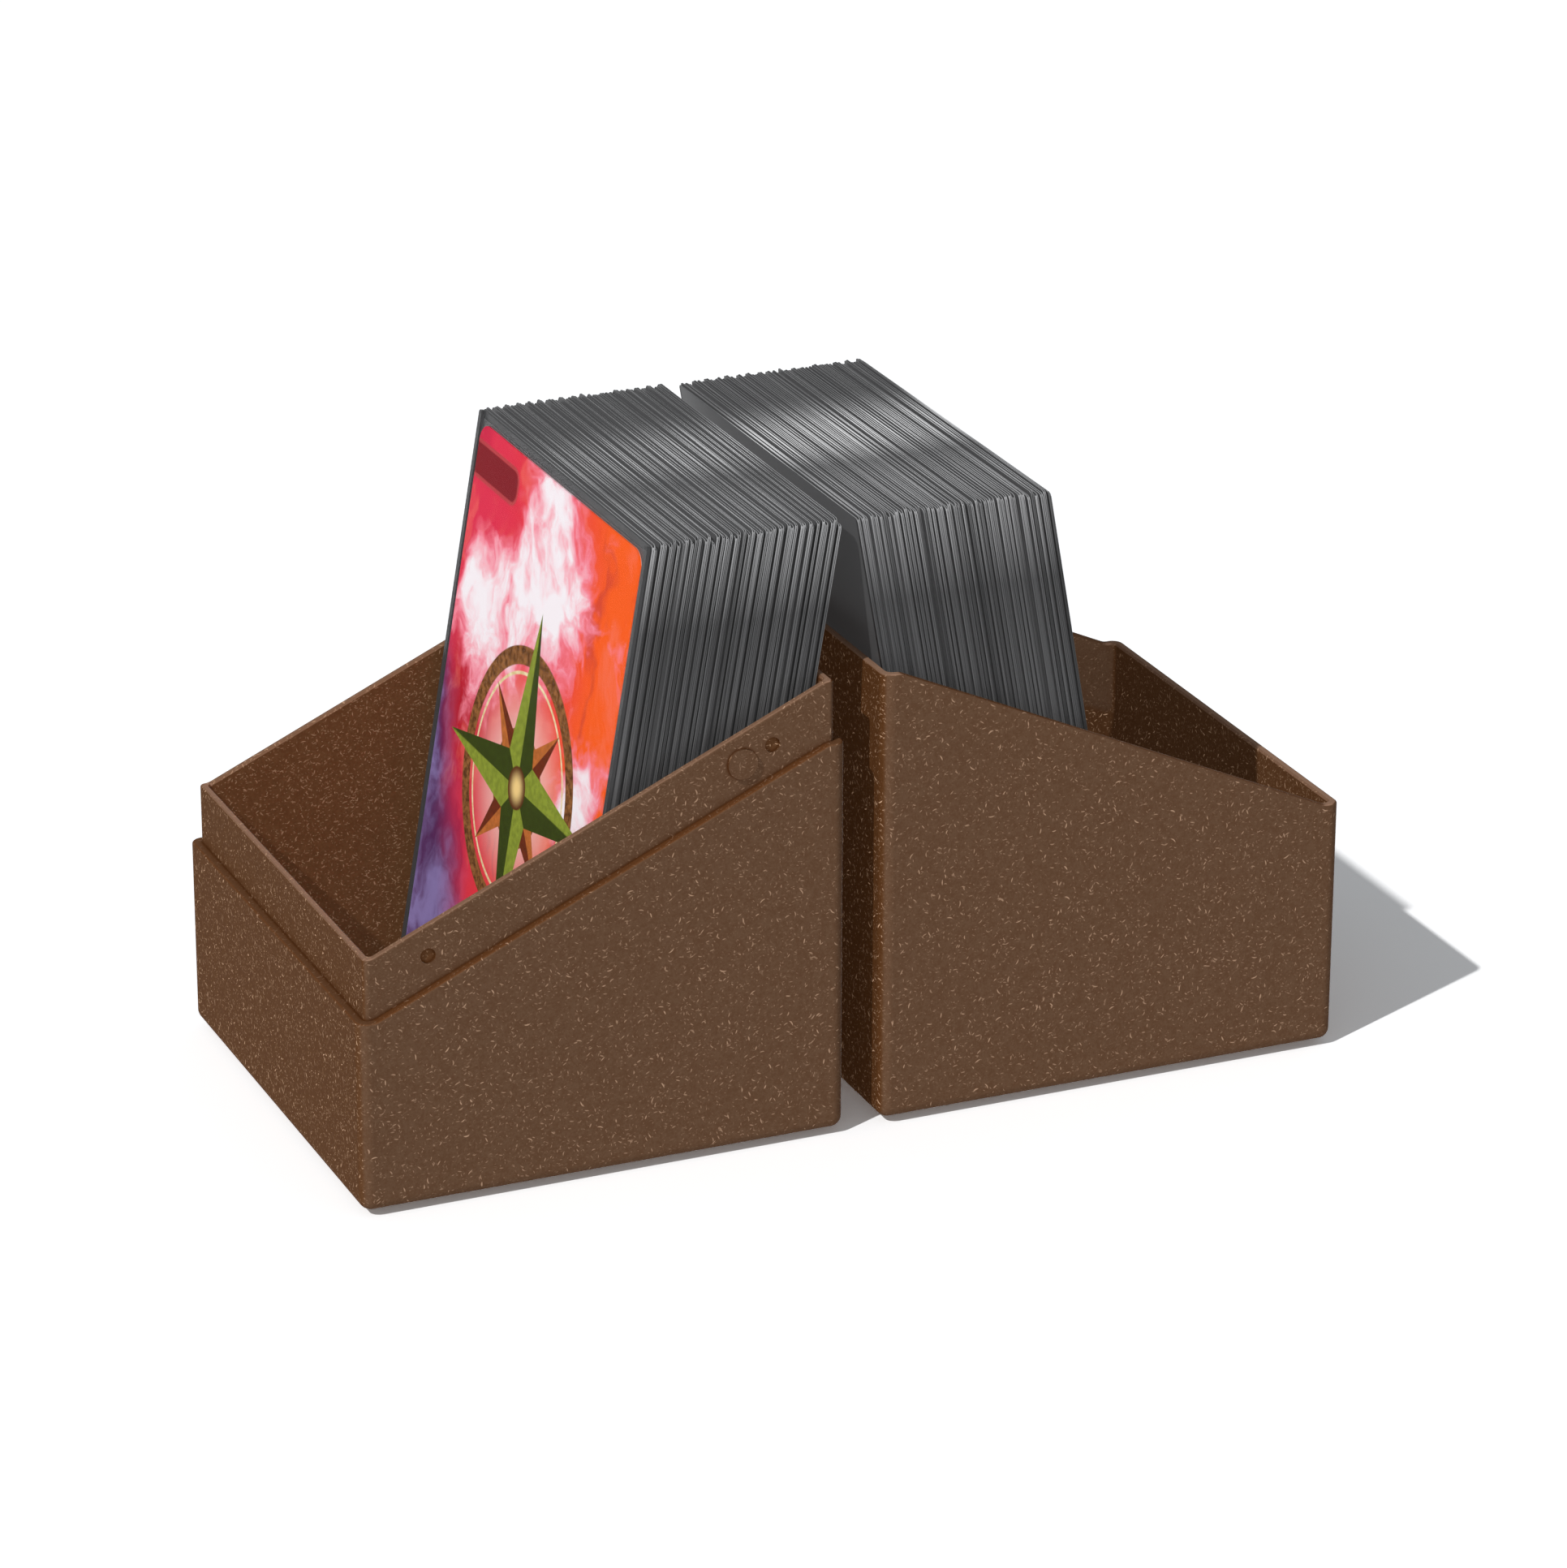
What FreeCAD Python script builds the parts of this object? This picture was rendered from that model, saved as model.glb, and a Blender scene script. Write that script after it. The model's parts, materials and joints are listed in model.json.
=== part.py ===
import FreeCAD, Part

import math
import os

import Sketcher

# Two-part card box standing open beside its cover, with a sleeved deck split between the two.
# The base is a square tray whose rim climbs from a low end to a high end, with a thin lip that
# stands up inside the rim. The cover is its counterpart, turned over: its high end belongs over
# the base's low end, and its skirt slides down over the lip until the two slanted rims meet.
# Each half holds a pack of sleeved cards that leans back against the rim of the high end.
#
# Frame: +X along the row (base, then cover), +Z up, origin under the middle of the whole set.

SIZES = (
    # alias, value in mm or degrees, what it sets
    ("box_width", 74.5, "each half along X"),
    ("side_play", 1.9, "pack to the cavity's front and back walls, each side"),
    ("head_room", 3.1, "closed box, above the cards"),
    ("half_gap", 5.7, "clear space between the two halves"),
    ("low_rim", 27.9, "outer rim of the base where its slope starts from the low face"),
    ("rim_angle", 24.3, "slope of both rims, degrees"),
    ("end_flat", 2.7, "level stretch of rim at either end"),
    ("bend_radius", 2.5, "bend between a level stretch and the slope"),
    ("wall", 2.6, "wall under the rim"),
    ("floor_plate", 2.3, "floor of either half"),
    ("ledge", 1.4, "ledge outside the lip"),
    ("lip_height", 9.2, "lip above the ledge"),
    ("skirt_play", 0.1, "skirt to lip, each side"),
    ("rebate_spare", 0.8, "rebate deeper than the lip"),
    ("taper_height", 5.0, "taper from the skirt to the full wall"),
    ("corner_radius", 1.8, "upright outer corners"),
    ("foot_radius", 1.7, "edge round the underside"),
    ("lip_corner", 0.8, "upright outer corners of the lip"),
    ("cavity_corner", 0.6, "upright inner corners"),
    ("taper_corner", 1.2, "inner corners at the taper's foot"),
    ("rim_round", 0.35, "rounding of the outer rim edges"),
    ("rim_chamfer", 0.3, "chamfer of the inner rim edges"),
    ("disc_radius", 2.25, "raised catch disc on the lip"),
    ("disc_proud", 0.5, "catch disc above the lip face"),
    ("disc_at", 58.85, "catch disc from the low face"),
    ("dimple_radius", 1.15, "detent dimples in the lip"),
    ("dimple_depth", 0.4, "detent dimples below the lip face"),
    ("low_dimple_at", 11.05, "first dimple from the low face"),
    ("high_dimple_at", 63.55, "second dimple from the low face"),
    ("catch_play", 0.15, "detents of cover and lip, all round"),
    ("card_width", 63.0, "card across"),
    ("card_height", 88.0, "card from foot to top"),
    ("card_stock", 0.3, "card thickness"),
    ("card_corner", 3.0, "corner of a card"),
    ("inner_ease", 0.5, "inner sleeve past the card, all round"),
    ("outer_ease", 1.0, "outer sleeve past the inner sleeve, all round"),
    ("sleeve_corner", 0.6, "corner of an outer sleeve"),
    ("sleeve_film", 0.1, "film of an outer sleeve"),
    ("inner_film", 0.05, "film of an inner sleeve"),
    ("layer_play", 0.01, "between card, inner sleeve and outer sleeve"),
    ("base_air", 0.014, "between sleeved cards in the base"),
    ("cover_air", 0.027, "between sleeved cards in the cover"),
    ("base_lean_angle", 9.65, "lean of the pack in the base, degrees"),
    ("cover_lean_angle", 10.1, "lean of the pack in the cover, degrees"),
    ("rim_play", 0.2, "pack to the rim that it leans on"),
    ("seat_play", 0.3, "card feet above the floor"),
    ("card_rise", 0.4, "most that a card stands up out of its row"),
    ("card_stray", 0.25, "most that a card strays sideways"),
    ("base_count", 45, "cards in the base, the front one included"),
    ("cover_count", 45, "cards in the cover"),
    ("bundle_count", 5, "cards in one bundle"),
)

doc = FreeCAD.newDocument("CardBox")
sheet = doc.addObject("Spreadsheet::Sheet", "Sizes")
for row, (alias, value, note) in enumerate(SIZES, start=1):
    sheet.set(f"A{row}", alias)
    sheet.set(f"B{row}", str(value))
    sheet.set(f"C{row}", note)
    sheet.setAlias(f"B{row}", alias)
doc.recompute()

NEAR = 1e-4
ALONG_Y = FreeCAD.Vector(0, 1, 0)
ALONG_Z = FreeCAD.Vector(0, 0, 1)

# Heights and places that several features share, as expressions over the sheet.
INNER_WIDTH = "(Sizes.card_width + 2 * Sizes.inner_ease)"
INNER_HEIGHT = "(Sizes.card_height + 2 * Sizes.inner_ease)"
SLEEVE_WIDTH = f"({INNER_WIDTH} + 2 * Sizes.outer_ease)"
SLEEVE_HEIGHT = f"({INNER_HEIGHT} + 2 * Sizes.outer_ease)"
DEPTH = f"({SLEEVE_WIDTH} + 2 * Sizes.side_play + 2 * Sizes.wall)"
CLOSED = f"({SLEEVE_HEIGHT} + Sizes.head_room + 2 * Sizes.floor_plate)"
SLOPE = "tan(Sizes.rim_angle * 1 deg)"
BASE_LOW = f"(Sizes.low_rim + {SLOPE} * Sizes.end_flat)"
BASE_HIGH = f"(Sizes.low_rim + {SLOPE} * (Sizes.box_width - Sizes.end_flat))"
COVER_HIGH = f"({CLOSED} - {BASE_LOW})"
COVER_LOW = f"({CLOSED} - {BASE_HIGH})"
REBATE = "(Sizes.lip_height + Sizes.rebate_spare)"
SKIRT = "(Sizes.ledge - Sizes.skirt_play)"
SKIRT_CORNER = "(Sizes.lip_corner + Sizes.skirt_play)"
BASE_X = "(-Sizes.box_width - Sizes.half_gap / 2)"
COVER_X = "(Sizes.half_gap / 2)"
LIP_HIGH = f"({BASE_HIGH} + Sizes.lip_height)"
LIP_LOW = f"({BASE_LOW} + Sizes.lip_height)"
DIMPLES = ("Sizes.low_dimple_at", "Sizes.high_dimple_at")
LOW_X = "Sizes.end_flat"
HIGH_X = "(Sizes.box_width - Sizes.end_flat)"
MID_LIP = "Sizes.lip_height / 2"

# A sleeved card from the outside in: outer film, inner film, card, inner film, outer film.
INNER = "(2 * Sizes.inner_film + 2 * Sizes.layer_play + Sizes.card_stock)"
SLEEVED = f"(2 * Sizes.sleeve_film + 2 * Sizes.layer_play + {INNER})"
BASE_LEAN = "(Sizes.base_lean_angle * 1 deg)"
COVER_LEAN = "(Sizes.cover_lean_angle * 1 deg)"
BASE_STEP = f"(({SLEEVED} + Sizes.base_air) / cos({BASE_LEAN}))"
COVER_STEP = f"(({SLEEVED} + Sizes.cover_air) / cos({COVER_LEAN}))"
SEAT = "(Sizes.floor_plate + Sizes.seat_play)"

# Feet of the packs: the last card of the base and the first of the cover lean on a rim.
BASE_FOOT = f"({SEAT} + {SLEEVED} * sin({BASE_LEAN}))"
BASE_REACH = f"({SLEEVED} * cos({BASE_LEAN}) + ({LIP_HIGH} - {SEAT}) * tan({BASE_LEAN}))"
BASE_LAST = f"({BASE_X} + Sizes.box_width - Sizes.wall - Sizes.rim_play - {BASE_REACH})"
BASE_FIRST = f"({BASE_LAST} - (Sizes.base_count - 1) * {BASE_STEP})"
COVER_REACH = f"(({COVER_HIGH} - {SEAT}) * tan({COVER_LEAN}))"
COVER_FIRST = f"({COVER_X} + {SKIRT} + Sizes.rim_play + {COVER_REACH})"


def size(expression):
    """The value of an expression over the sheet, as a plain number."""
    value = sheet.evalExpression(expression)
    return float(getattr(value, "Value", value))


def base_rim(at):
    """Height of the base's sloping outer rim above a place along X, as an expression."""
    return f"(Sizes.low_rim + {SLOPE} * {at})"


def cover_rim(at):
    """Height of the cover's sloping rim above a place along X, as an expression."""
    return f"({CLOSED} - Sizes.low_rim - {SLOPE} * {at})"


# --- building blocks -------------------------------------------------------------------------


def origin_plane(body, role):
    """One of a body's own origin planes."""
    return next(item for item in body.Origin.OriginFeatures if item.Role == role)


def new_body(label):
    """An empty PartDesign body whose label names its file."""
    body = doc.addObject("PartDesign::Body", label)
    body.Label = label
    return body


def new_sketch(body, name, role, offset="0"):
    """A sketch on an origin plane of its body, lifted off the plane by an expression."""
    sketch = body.newObject("Sketcher::SketchObject", name)
    sketch.AttachmentSupport = (origin_plane(body, role), [""])
    sketch.MapMode = "FlatFace"
    sketch.setExpression("AttachmentOffset.Base.z", offset)
    return sketch


def tilt(sketch, angle):
    """Turns a sketch on the ground plane about the Y axis by an expression in degrees."""
    sketch.AttachmentOffset = FreeCAD.Placement(
        sketch.AttachmentOffset.Base, FreeCAD.Rotation(ALONG_Y, size(angle))
    )
    sketch.setExpression("AttachmentOffset.Rotation.Angle", angle + " * 1 deg")


def bind(sketch, kind, *picks, value):
    """Adds a dimension to a sketch and ties it to an expression."""
    index = sketch.addConstraint(Sketcher.Constraint(kind, *picks, size(value)))
    sketch.setExpression(f"Constraints[{index}]", value)


def polygon(sketch, corners):
    """A closed outline whose corners are pairs of expressions, each tied to the sheet."""
    places = [FreeCAD.Vector(size(across), size(up), 0) for across, up in corners]
    count = len(places)
    for index, place in enumerate(places):
        sketch.addGeometry(Part.LineSegment(place, places[(index + 1) % count]), False)
    for index in range(count):
        sketch.addConstraint(Sketcher.Constraint("Coincident", index, 2, (index + 1) % count, 1))
    for index, (across, up) in enumerate(corners):
        bind(sketch, "DistanceX", -1, 1, index, 1, value=across)
        bind(sketch, "DistanceY", -1, 1, index, 1, value=up)
    return sketch


def circles(sketch, places, radius):
    """Round outlines of one radius about places given as pairs of expressions."""
    for index, (across, up) in enumerate(places):
        middle = FreeCAD.Vector(size(across), size(up), 0)
        sketch.addGeometry(Part.Circle(middle, ALONG_Z, size(radius)), False)
        bind(sketch, "DistanceX", -1, 1, index, 3, value=across)
        bind(sketch, "DistanceY", -1, 1, index, 3, value=up)
        bind(sketch, "Radius", index, value=radius)
    return sketch


def rounded_box(sketch, left, right, low, high, radius):
    """A rectangle between four expressions, with rounded corners.

    The lines run low, right, high and left, and an arc follows each one.
    """
    x0, x1, y0, y1, r = (size(text) for text in (left, right, low, high, radius))
    point = FreeCAD.Vector
    sketch.addGeometry(Part.LineSegment(point(x0 + r, y0, 0), point(x1 - r, y0, 0)), False)
    sketch.addGeometry(Part.LineSegment(point(x1, y0 + r, 0), point(x1, y1 - r, 0)), False)
    sketch.addGeometry(Part.LineSegment(point(x1 - r, y1, 0), point(x0 + r, y1, 0)), False)
    sketch.addGeometry(Part.LineSegment(point(x0, y1 - r, 0), point(x0, y0 + r, 0)), False)
    middles = ((x1 - r, y0 + r), (x1 - r, y1 - r), (x0 + r, y1 - r), (x0 + r, y0 + r))
    for quarter, (across, up) in enumerate(middles):
        circle = Part.Circle(point(across, up, 0), ALONG_Z, r)
        start = (quarter - 1) * math.pi / 2
        sketch.addGeometry(Part.ArcOfCircle(circle, start, start + math.pi / 2), False)
    for side in range(4):
        arc, following = side + 4, (side + 1) % 4
        sketch.addConstraint(Sketcher.Constraint("Tangent", side, 2, arc, 1))
        sketch.addConstraint(Sketcher.Constraint("Tangent", arc, 2, following, 1))
        sketch.addConstraint(Sketcher.Constraint("Vertical" if side % 2 else "Horizontal", side))
    for arc in (5, 6, 7):
        sketch.addConstraint(Sketcher.Constraint("Equal", 4, arc))
    bind(sketch, "Radius", 4, value=radius)
    bind(sketch, "DistanceY", -1, 1, 0, 1, value=low)
    bind(sketch, "DistanceX", -1, 1, 1, 1, value=right)
    bind(sketch, "DistanceY", -1, 1, 2, 1, value=high)
    bind(sketch, "DistanceX", -1, 1, 3, 1, value=left)
    return sketch


def rounded_plan(sketch, inset, radius, stretch="1"):
    """The box's plan, set in from its outer faces, on the ground or stretched to lie on a slope."""
    left, right = f"{inset} * {stretch}", f"(Sizes.box_width - {inset}) * {stretch}"
    front, back = f"-({DEPTH} / 2 - {inset})", f"{DEPTH} / 2 - {inset}"
    return rounded_box(sketch, left, right, front, back, radius)


def above_rim(low_z, high_z):
    """The space above a rim that is level at both ends and slopes in between."""
    spare = "Sizes.corner_radius"
    left, right = f"-{spare}", f"(Sizes.box_width + {spare})"
    top = f"({CLOSED} + {spare})"
    slope = [(left, low_z), (LOW_X, low_z), (HIGH_X, high_z), (right, high_z)]
    return slope + [(right, top), (left, top)]


def pad(body, sketch, length, name, inward=False):
    """Adds material along the sketch's normal, or against it, by an expression."""
    feature = body.newObject("PartDesign::Pad", name)
    feature.Profile = sketch
    feature.Reversed = inward
    feature.setExpression("Length", length)
    doc.recompute()
    return feature


def cut(body, sketch, name, length=None, symmetric=False, outward=False, upright=False):
    """Takes material away: through everything, or to a depth given by an expression."""
    before = body.Shape.Volume
    feature = body.newObject("PartDesign::Pocket", name)
    feature.Profile = sketch
    feature.Type = "Length" if length else "ThroughAll"
    feature.SideType = "Symmetric" if symmetric else "One side"
    feature.Reversed = outward
    if upright:
        feature.UseCustomVector = True
        feature.Direction = ALONG_Z
    if length:
        feature.setExpression("Length", length)
    doc.recompute()
    if not body.Shape.Volume < before:
        raise RuntimeError(f"{name} cuts nothing")
    return feature


def edges_where(body, wanted):
    """Names of the edges of a body's latest shape that a test accepts."""
    return [f"Edge{place}" for place, edge in enumerate(body.Shape.Edges, start=1) if wanted(edge)]


def dress_edges(body, kind, name, wanted, reach):
    """Rounds or chamfers the edges of a body's latest shape that a test accepts."""
    names = edges_where(body, wanted)
    if not names:
        raise RuntimeError(f"{name} finds no edge")
    latest = body.Tip
    feature = body.newObject(f"PartDesign::{kind}", name)
    feature.Base = (latest, names)
    feature.setExpression("Radius" if kind == "Fillet" else "Size", reach)
    doc.recompute()
    return feature


def is_along(edge, axis):
    """Whether an edge is a straight line along an axis."""
    if not isinstance(edge.Curve, (Part.Line, Part.LineSegment)):
        return False
    run = edge.Vertexes[-1].Point - edge.Vertexes[0].Point
    return run.Length > 0 and abs(abs(run.normalize().dot(axis)) - 1) < NEAR


def is_level(edge, height):
    """Whether an edge lies flat at one height."""
    box = edge.BoundBox
    return abs(box.ZMin - height) < NEAR and abs(box.ZMax - height) < NEAR


def plan_distance(point):
    """How far a point lies inside the nearest outer face of the box's plan."""
    half_depth = size(DEPTH) / 2
    return min(point.x, size("Sizes.box_width") - point.x, half_depth - abs(point.y))


def is_on_ring(edge, inset):
    """Whether an edge follows the box's plan at an inset, its rounded corners included."""
    return all(abs(plan_distance(vertex.Point) - inset) < NEAR for vertex in edge.Vertexes)


def middle_of(edge):
    """The point half way along an edge."""
    return edge.valueAt((edge.FirstParameter + edge.LastParameter) / 2)


# --- the two moulded halves ------------------------------------------------------------------


def moulded_block(body):
    """The block with rounded corners and a rounded underside that both halves are cut from."""
    outline = rounded_plan(new_sketch(body, "Outline", "XY_Plane"), "0", "Sizes.corner_radius")
    pad(body, outline, CLOSED, "Block")
    foot = "min(Sizes.foot_radius; 0.95 * Sizes.corner_radius)"
    dress_edges(body, "Fillet", "Foot", lambda edge: is_level(edge, 0), foot)


def slope_off(body, name, low_z, high_z):
    """Cuts a slanted rim with a level stretch at either end, and bends it gently between them."""
    side = polygon(new_sketch(body, name + "Side", "XZ_Plane"), above_rim(low_z, high_z))
    cut(body, side, name + "Slope", symmetric=True)
    bends = [(size(LOW_X), size(low_z)), (size(HIGH_X), size(high_z))]

    def is_bend(edge):
        point = edge.Vertexes[0].Point
        near = [math.hypot(point.x - x, point.z - z) < NEAR for x, z in bends]
        return is_along(edge, ALONG_Y) and any(near)

    dress_edges(body, "Fillet", name + "Bends", is_bend, "Sizes.bend_radius")


def hollow_out(body):
    """The straight-walled cavity above the floor."""
    sketch = new_sketch(body, "CavityPlan", "XY_Plane", "Sizes.floor_plate")
    cut(body, rounded_plan(sketch, "Sizes.wall", "Sizes.cavity_corner"), "Cavity", outward=True)


def ease_rim(body, kind, name, inset, lowest):
    """Eases the rim's edge that follows the plan at an inset, above a height worked out from X."""

    def is_rim(edge):
        middle = middle_of(edge)
        upright = is_along(edge, ALONG_Z)
        return not upright and is_on_ring(edge, size(inset)) and middle.z > lowest(middle.x)

    reach = "Sizes.rim_round" if kind == "Fillet" else "Sizes.rim_chamfer"
    dress_edges(body, kind, name, is_rim, reach)


def front_and_back(body, feature, name):
    """Repeats a feature of the front wall on the back wall."""
    mirrored = body.newObject("PartDesign::Mirrored", name)
    mirrored.Originals = [feature]
    mirrored.MirrorPlane = (origin_plane(body, "XZ_Plane"), [""])
    body.Tip = mirrored
    doc.recompute()


def make_base_tray():
    """The base: a tray with a slanted rim, and a thin lip with catch discs and dimples."""
    body = new_body("base_tray")
    moulded_block(body)
    slope_off(body, "Ledge", BASE_LOW, BASE_HIGH)

    sketch = new_sketch(body, "LipPlan", "XY_Plane", "Sizes.floor_plate")
    tall = f"{CLOSED} - Sizes.floor_plate"
    pad(body, rounded_plan(sketch, "Sizes.ledge", "Sizes.lip_corner"), tall, "Lip")
    slope_off(body, "Lip", LIP_LOW, LIP_HIGH)
    hollow_out(body)

    half_lip, clear_of_foot = size(MID_LIP), size("2 * Sizes.foot_radius")
    rise, start = size(SLOPE), size("Sizes.low_rim")
    ease_rim(body, "Fillet", "LipRound", "Sizes.ledge", lambda x: start + rise * x + half_lip)
    ease_rim(body, "Chamfer", "LipInside", "Sizes.wall", lambda x: start + rise * x + half_lip)
    ease_rim(body, "Fillet", "LedgeRound", "0", lambda x: clear_of_foot)

    lip_face = f"({DEPTH} / 2 - Sizes.ledge)"
    places = [("Sizes.disc_at", base_rim("Sizes.disc_at") + " + " + MID_LIP)]
    disc = circles(new_sketch(body, "DiscFace", "XZ_Plane", lip_face), places, "Sizes.disc_radius")
    front_and_back(body, pad(body, disc, "Sizes.disc_proud", "CatchDisc"), "CatchDiscs")

    places = [(at, base_rim(at) + " + " + MID_LIP) for at in DIMPLES]
    sketch = new_sketch(body, "DimpleFace", "XZ_Plane", lip_face)
    dimples = circles(sketch, places, "Sizes.dimple_radius")
    front_and_back(body, cut(body, dimples, "Dimple", length="Sizes.dimple_depth"), "Dimples")
    body.setExpression("Placement.Base.x", BASE_X)
    return body


def make_cover_shell():
    """The cover, turned over: full walls below, then a taper and a thin skirt up to the rim."""
    body = new_body("cover_shell")
    moulded_block(body)
    slope_off(body, "Rim", COVER_HIGH, COVER_LOW)
    hollow_out(body)

    # The slanted planes of the skirt's foot and of the taper's foot are tilted about Y.
    stretch = "1 / cos(Sizes.rim_angle * 1 deg)"
    skirt_foot = new_sketch(body, "SkirtFoot", "XY_Plane", cover_rim("0") + " - " + REBATE)
    taper_foot_height = cover_rim("0") + " - " + REBATE + " - Sizes.taper_height"
    taper_foot = new_sketch(body, "TaperFoot", "XY_Plane", taper_foot_height)
    for sketch in (skirt_foot, taper_foot):
        tilt(sketch, "Sizes.rim_angle")
    rounded_plan(skirt_foot, SKIRT, SKIRT_CORNER, stretch)
    rounded_plan(taper_foot, "Sizes.wall", "Sizes.taper_corner", stretch)
    cut(body, skirt_foot, "Rebate", upright=True)
    taper = body.newObject("PartDesign::SubtractiveLoft", "Taper")
    taper.Profile = skirt_foot
    taper.Sections = [taper_foot]
    taper.Ruled = True
    doc.recompute()

    clear_of_foot, fall, start = size("2 * Sizes.foot_radius"), size(SLOPE), size(cover_rim("0"))
    ease_rim(body, "Fillet", "RimRound", "0", lambda x: clear_of_foot)
    ease_rim(body, "Chamfer", "SkirtInside", SKIRT, lambda x: start - fall * x - size(REBATE) / 2)

    # The catches: a socket that takes the lip's disc, and bumps that click into its dimples.
    skirt_face = f"({DEPTH} / 2 - {SKIRT})"
    places = [("Sizes.disc_at", cover_rim("Sizes.disc_at") + " - " + MID_LIP)]
    sketch = new_sketch(body, "SocketFace", "XZ_Plane", skirt_face)
    sockets = circles(sketch, places, "Sizes.disc_radius + Sizes.catch_play")
    depth = "Sizes.disc_proud - Sizes.skirt_play + Sizes.catch_play"
    front_and_back(body, cut(body, sockets, "Socket", length=depth, outward=True), "Sockets")
    places = [(at, cover_rim(at) + " - " + MID_LIP) for at in DIMPLES]
    sketch = new_sketch(body, "BumpFace", "XZ_Plane", skirt_face)
    bumps = circles(sketch, places, "Sizes.dimple_radius - Sizes.catch_play")
    height = "Sizes.dimple_depth + Sizes.skirt_play - Sizes.catch_play"
    front_and_back(body, pad(body, bumps, height, "Bump", inward=True), "Bumps")
    body.setExpression("Placement.Base.x", COVER_X)
    return body


# --- the cards -------------------------------------------------------------------------------
# A card is drawn lying against the YZ plane: its face looks along -X, its foot is at Z = 0, and
# its layers follow each other along +X.


def plate(label, width, height, depth, start="0", corner=None, foot="0"):
    """A flat piece of a sleeved card, centred across, from an expression along X."""
    body = new_body(label)
    sketch = new_sketch(body, "Sheet", "YZ_Plane", start)
    left, right = f"-{width} / 2", f"{width} / 2"
    top = f"({foot} + {height})"
    if corner:
        rounded_box(sketch, left, right, foot, top, corner)
    else:
        polygon(sketch, [(left, foot), (right, foot), (right, top), (left, top)])
    pad(body, sketch, depth, "Thickness")
    return body


def pocket_out(body, width, start, foot, depth):
    """Opens a pocket in a plate, shut at the foot and both sides and open at the mouth."""
    sketch = new_sketch(body, "PocketOutline", "YZ_Plane", start)
    left, right = f"-{width} / 2", f"{width} / 2"
    mouth = f"(2 * {SLEEVE_HEIGHT})"
    polygon(sketch, [(left, foot), (right, foot), (right, mouth), (left, mouth)])
    cut(body, sketch, "Pocket", length=depth, outward=True)


def stand(piece, along, foot, lean):
    """Stands a piece on its foot at a place along X, leaning by expressions."""
    piece.setExpression("Placement.Base.x", along)
    piece.setExpression("Placement.Base.z", foot)
    piece.Placement.Rotation = FreeCAD.Rotation(ALONG_Y, size(lean))
    piece.setExpression("Placement.Rotation.Angle", f"{lean} * 1 deg")


def make_front_card():
    """The front card and its two sleeves, layer by layer."""
    weld, film, play = "Sizes.outer_ease", "Sizes.sleeve_film", "Sizes.layer_play"
    back = plate(
        "front_sleeve_back",
        SLEEVE_WIDTH,
        SLEEVE_HEIGHT,
        f"({SLEEVED} - {film})",
        start=film,
        corner="Sizes.sleeve_corner",
    )
    sleeve_space = f"({SLEEVED} - 2 * {film})"
    pocket_out(back, f"({INNER_WIDTH} + 2 * {play})", film, f"({weld} - {play})", sleeve_space)
    face = plate(
        "front_sleeve_face",
        SLEEVE_WIDTH,
        SLEEVE_HEIGHT,
        film,
        corner="Sizes.sleeve_corner",
    )
    inner_start = f"({film} + {play})"
    inner = plate(
        "front_inner_sleeve",
        INNER_WIDTH,
        INNER_HEIGHT,
        INNER,
        start=inner_start,
        foot=weld,
    )
    card_start = f"({inner_start} + Sizes.inner_film)"
    card_space = f"({INNER} - 2 * Sizes.inner_film)"
    card_foot = f"({weld} + Sizes.inner_ease)"
    card_room = f"(Sizes.card_width + 2 * {play})"
    pocket_out(inner, card_room, card_start, f"({card_foot} - {play})", card_space)
    card = plate(
        "front_card",
        "Sizes.card_width",
        "Sizes.card_height",
        "Sizes.card_stock",
        start=f"({card_start} + {play})",
        corner="Sizes.card_corner",
        foot=card_foot,
    )
    for piece in (back, face, inner, card):
        stand(piece, BASE_FIRST, BASE_FOOT, "Sizes.base_lean_angle")
    return [back, face, inner, card]


def make_bundles(label, sleeved, numbers, first, step, foot, lean):
    """Sleeved cards in bundles, each card a solid of its own, some standing a little proud."""
    rise, stray = size("Sizes.card_rise"), size("Sizes.card_stray")
    count = round(size("Sizes.bundle_count"))
    turn = FreeCAD.Rotation(ALONG_Y, size(lean))
    bundles = []
    for place, start in enumerate(range(0, len(numbers), count), start=1):
        cards = []
        for number in numbers[start : start + count]:
            lift = rise * (0.5 + 0.5 * math.sin(2.4 * number))
            sideways = stray * math.sin(3.7 * number)
            slip = turn.multVec(FreeCAD.Vector(0, sideways, lift))
            base = FreeCAD.Vector(size(first) + number * size(step), 0, size(foot)) + slip
            card = sleeved.Shape.copy()
            card.Placement = FreeCAD.Placement(base, turn)
            cards.append(card)
        bundle = doc.addObject("Part::Feature", f"{label}_{place:02d}")
        bundle.Shape = Part.makeCompound(cards)
        bundles.append(bundle)
    return bundles


def make_cards():
    """Both packs, and the front card in its sleeves."""
    pattern = plate("sleeved_card", SLEEVE_WIDTH, SLEEVE_HEIGHT, SLEEVED)
    behind_front = range(1, round(size("Sizes.base_count")))
    in_cover = range(round(size("Sizes.cover_count")))
    in_base_row = (BASE_FIRST, BASE_STEP, BASE_FOOT, "Sizes.base_lean_angle")
    in_cover_row = (COVER_FIRST, COVER_STEP, SEAT, "-Sizes.cover_lean_angle")
    return [
        *make_front_card(),
        *make_bundles("base_cards", pattern, behind_front, *in_base_row),
        *make_bundles("cover_cards", pattern, in_cover, *in_cover_row),
    ]


pieces = [make_base_tray(), make_cover_shell(), *make_cards()]
doc.recompute()
for item in doc.Objects:
    if {"Invalid", "Error"} & set(item.State):
        raise RuntimeError(f"{item.Name} did not recompute")
for piece in pieces:
    if piece.Shape.isNull() or not piece.Shape.isValid():
        raise RuntimeError(f"{piece.Label} has no valid shape")

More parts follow.
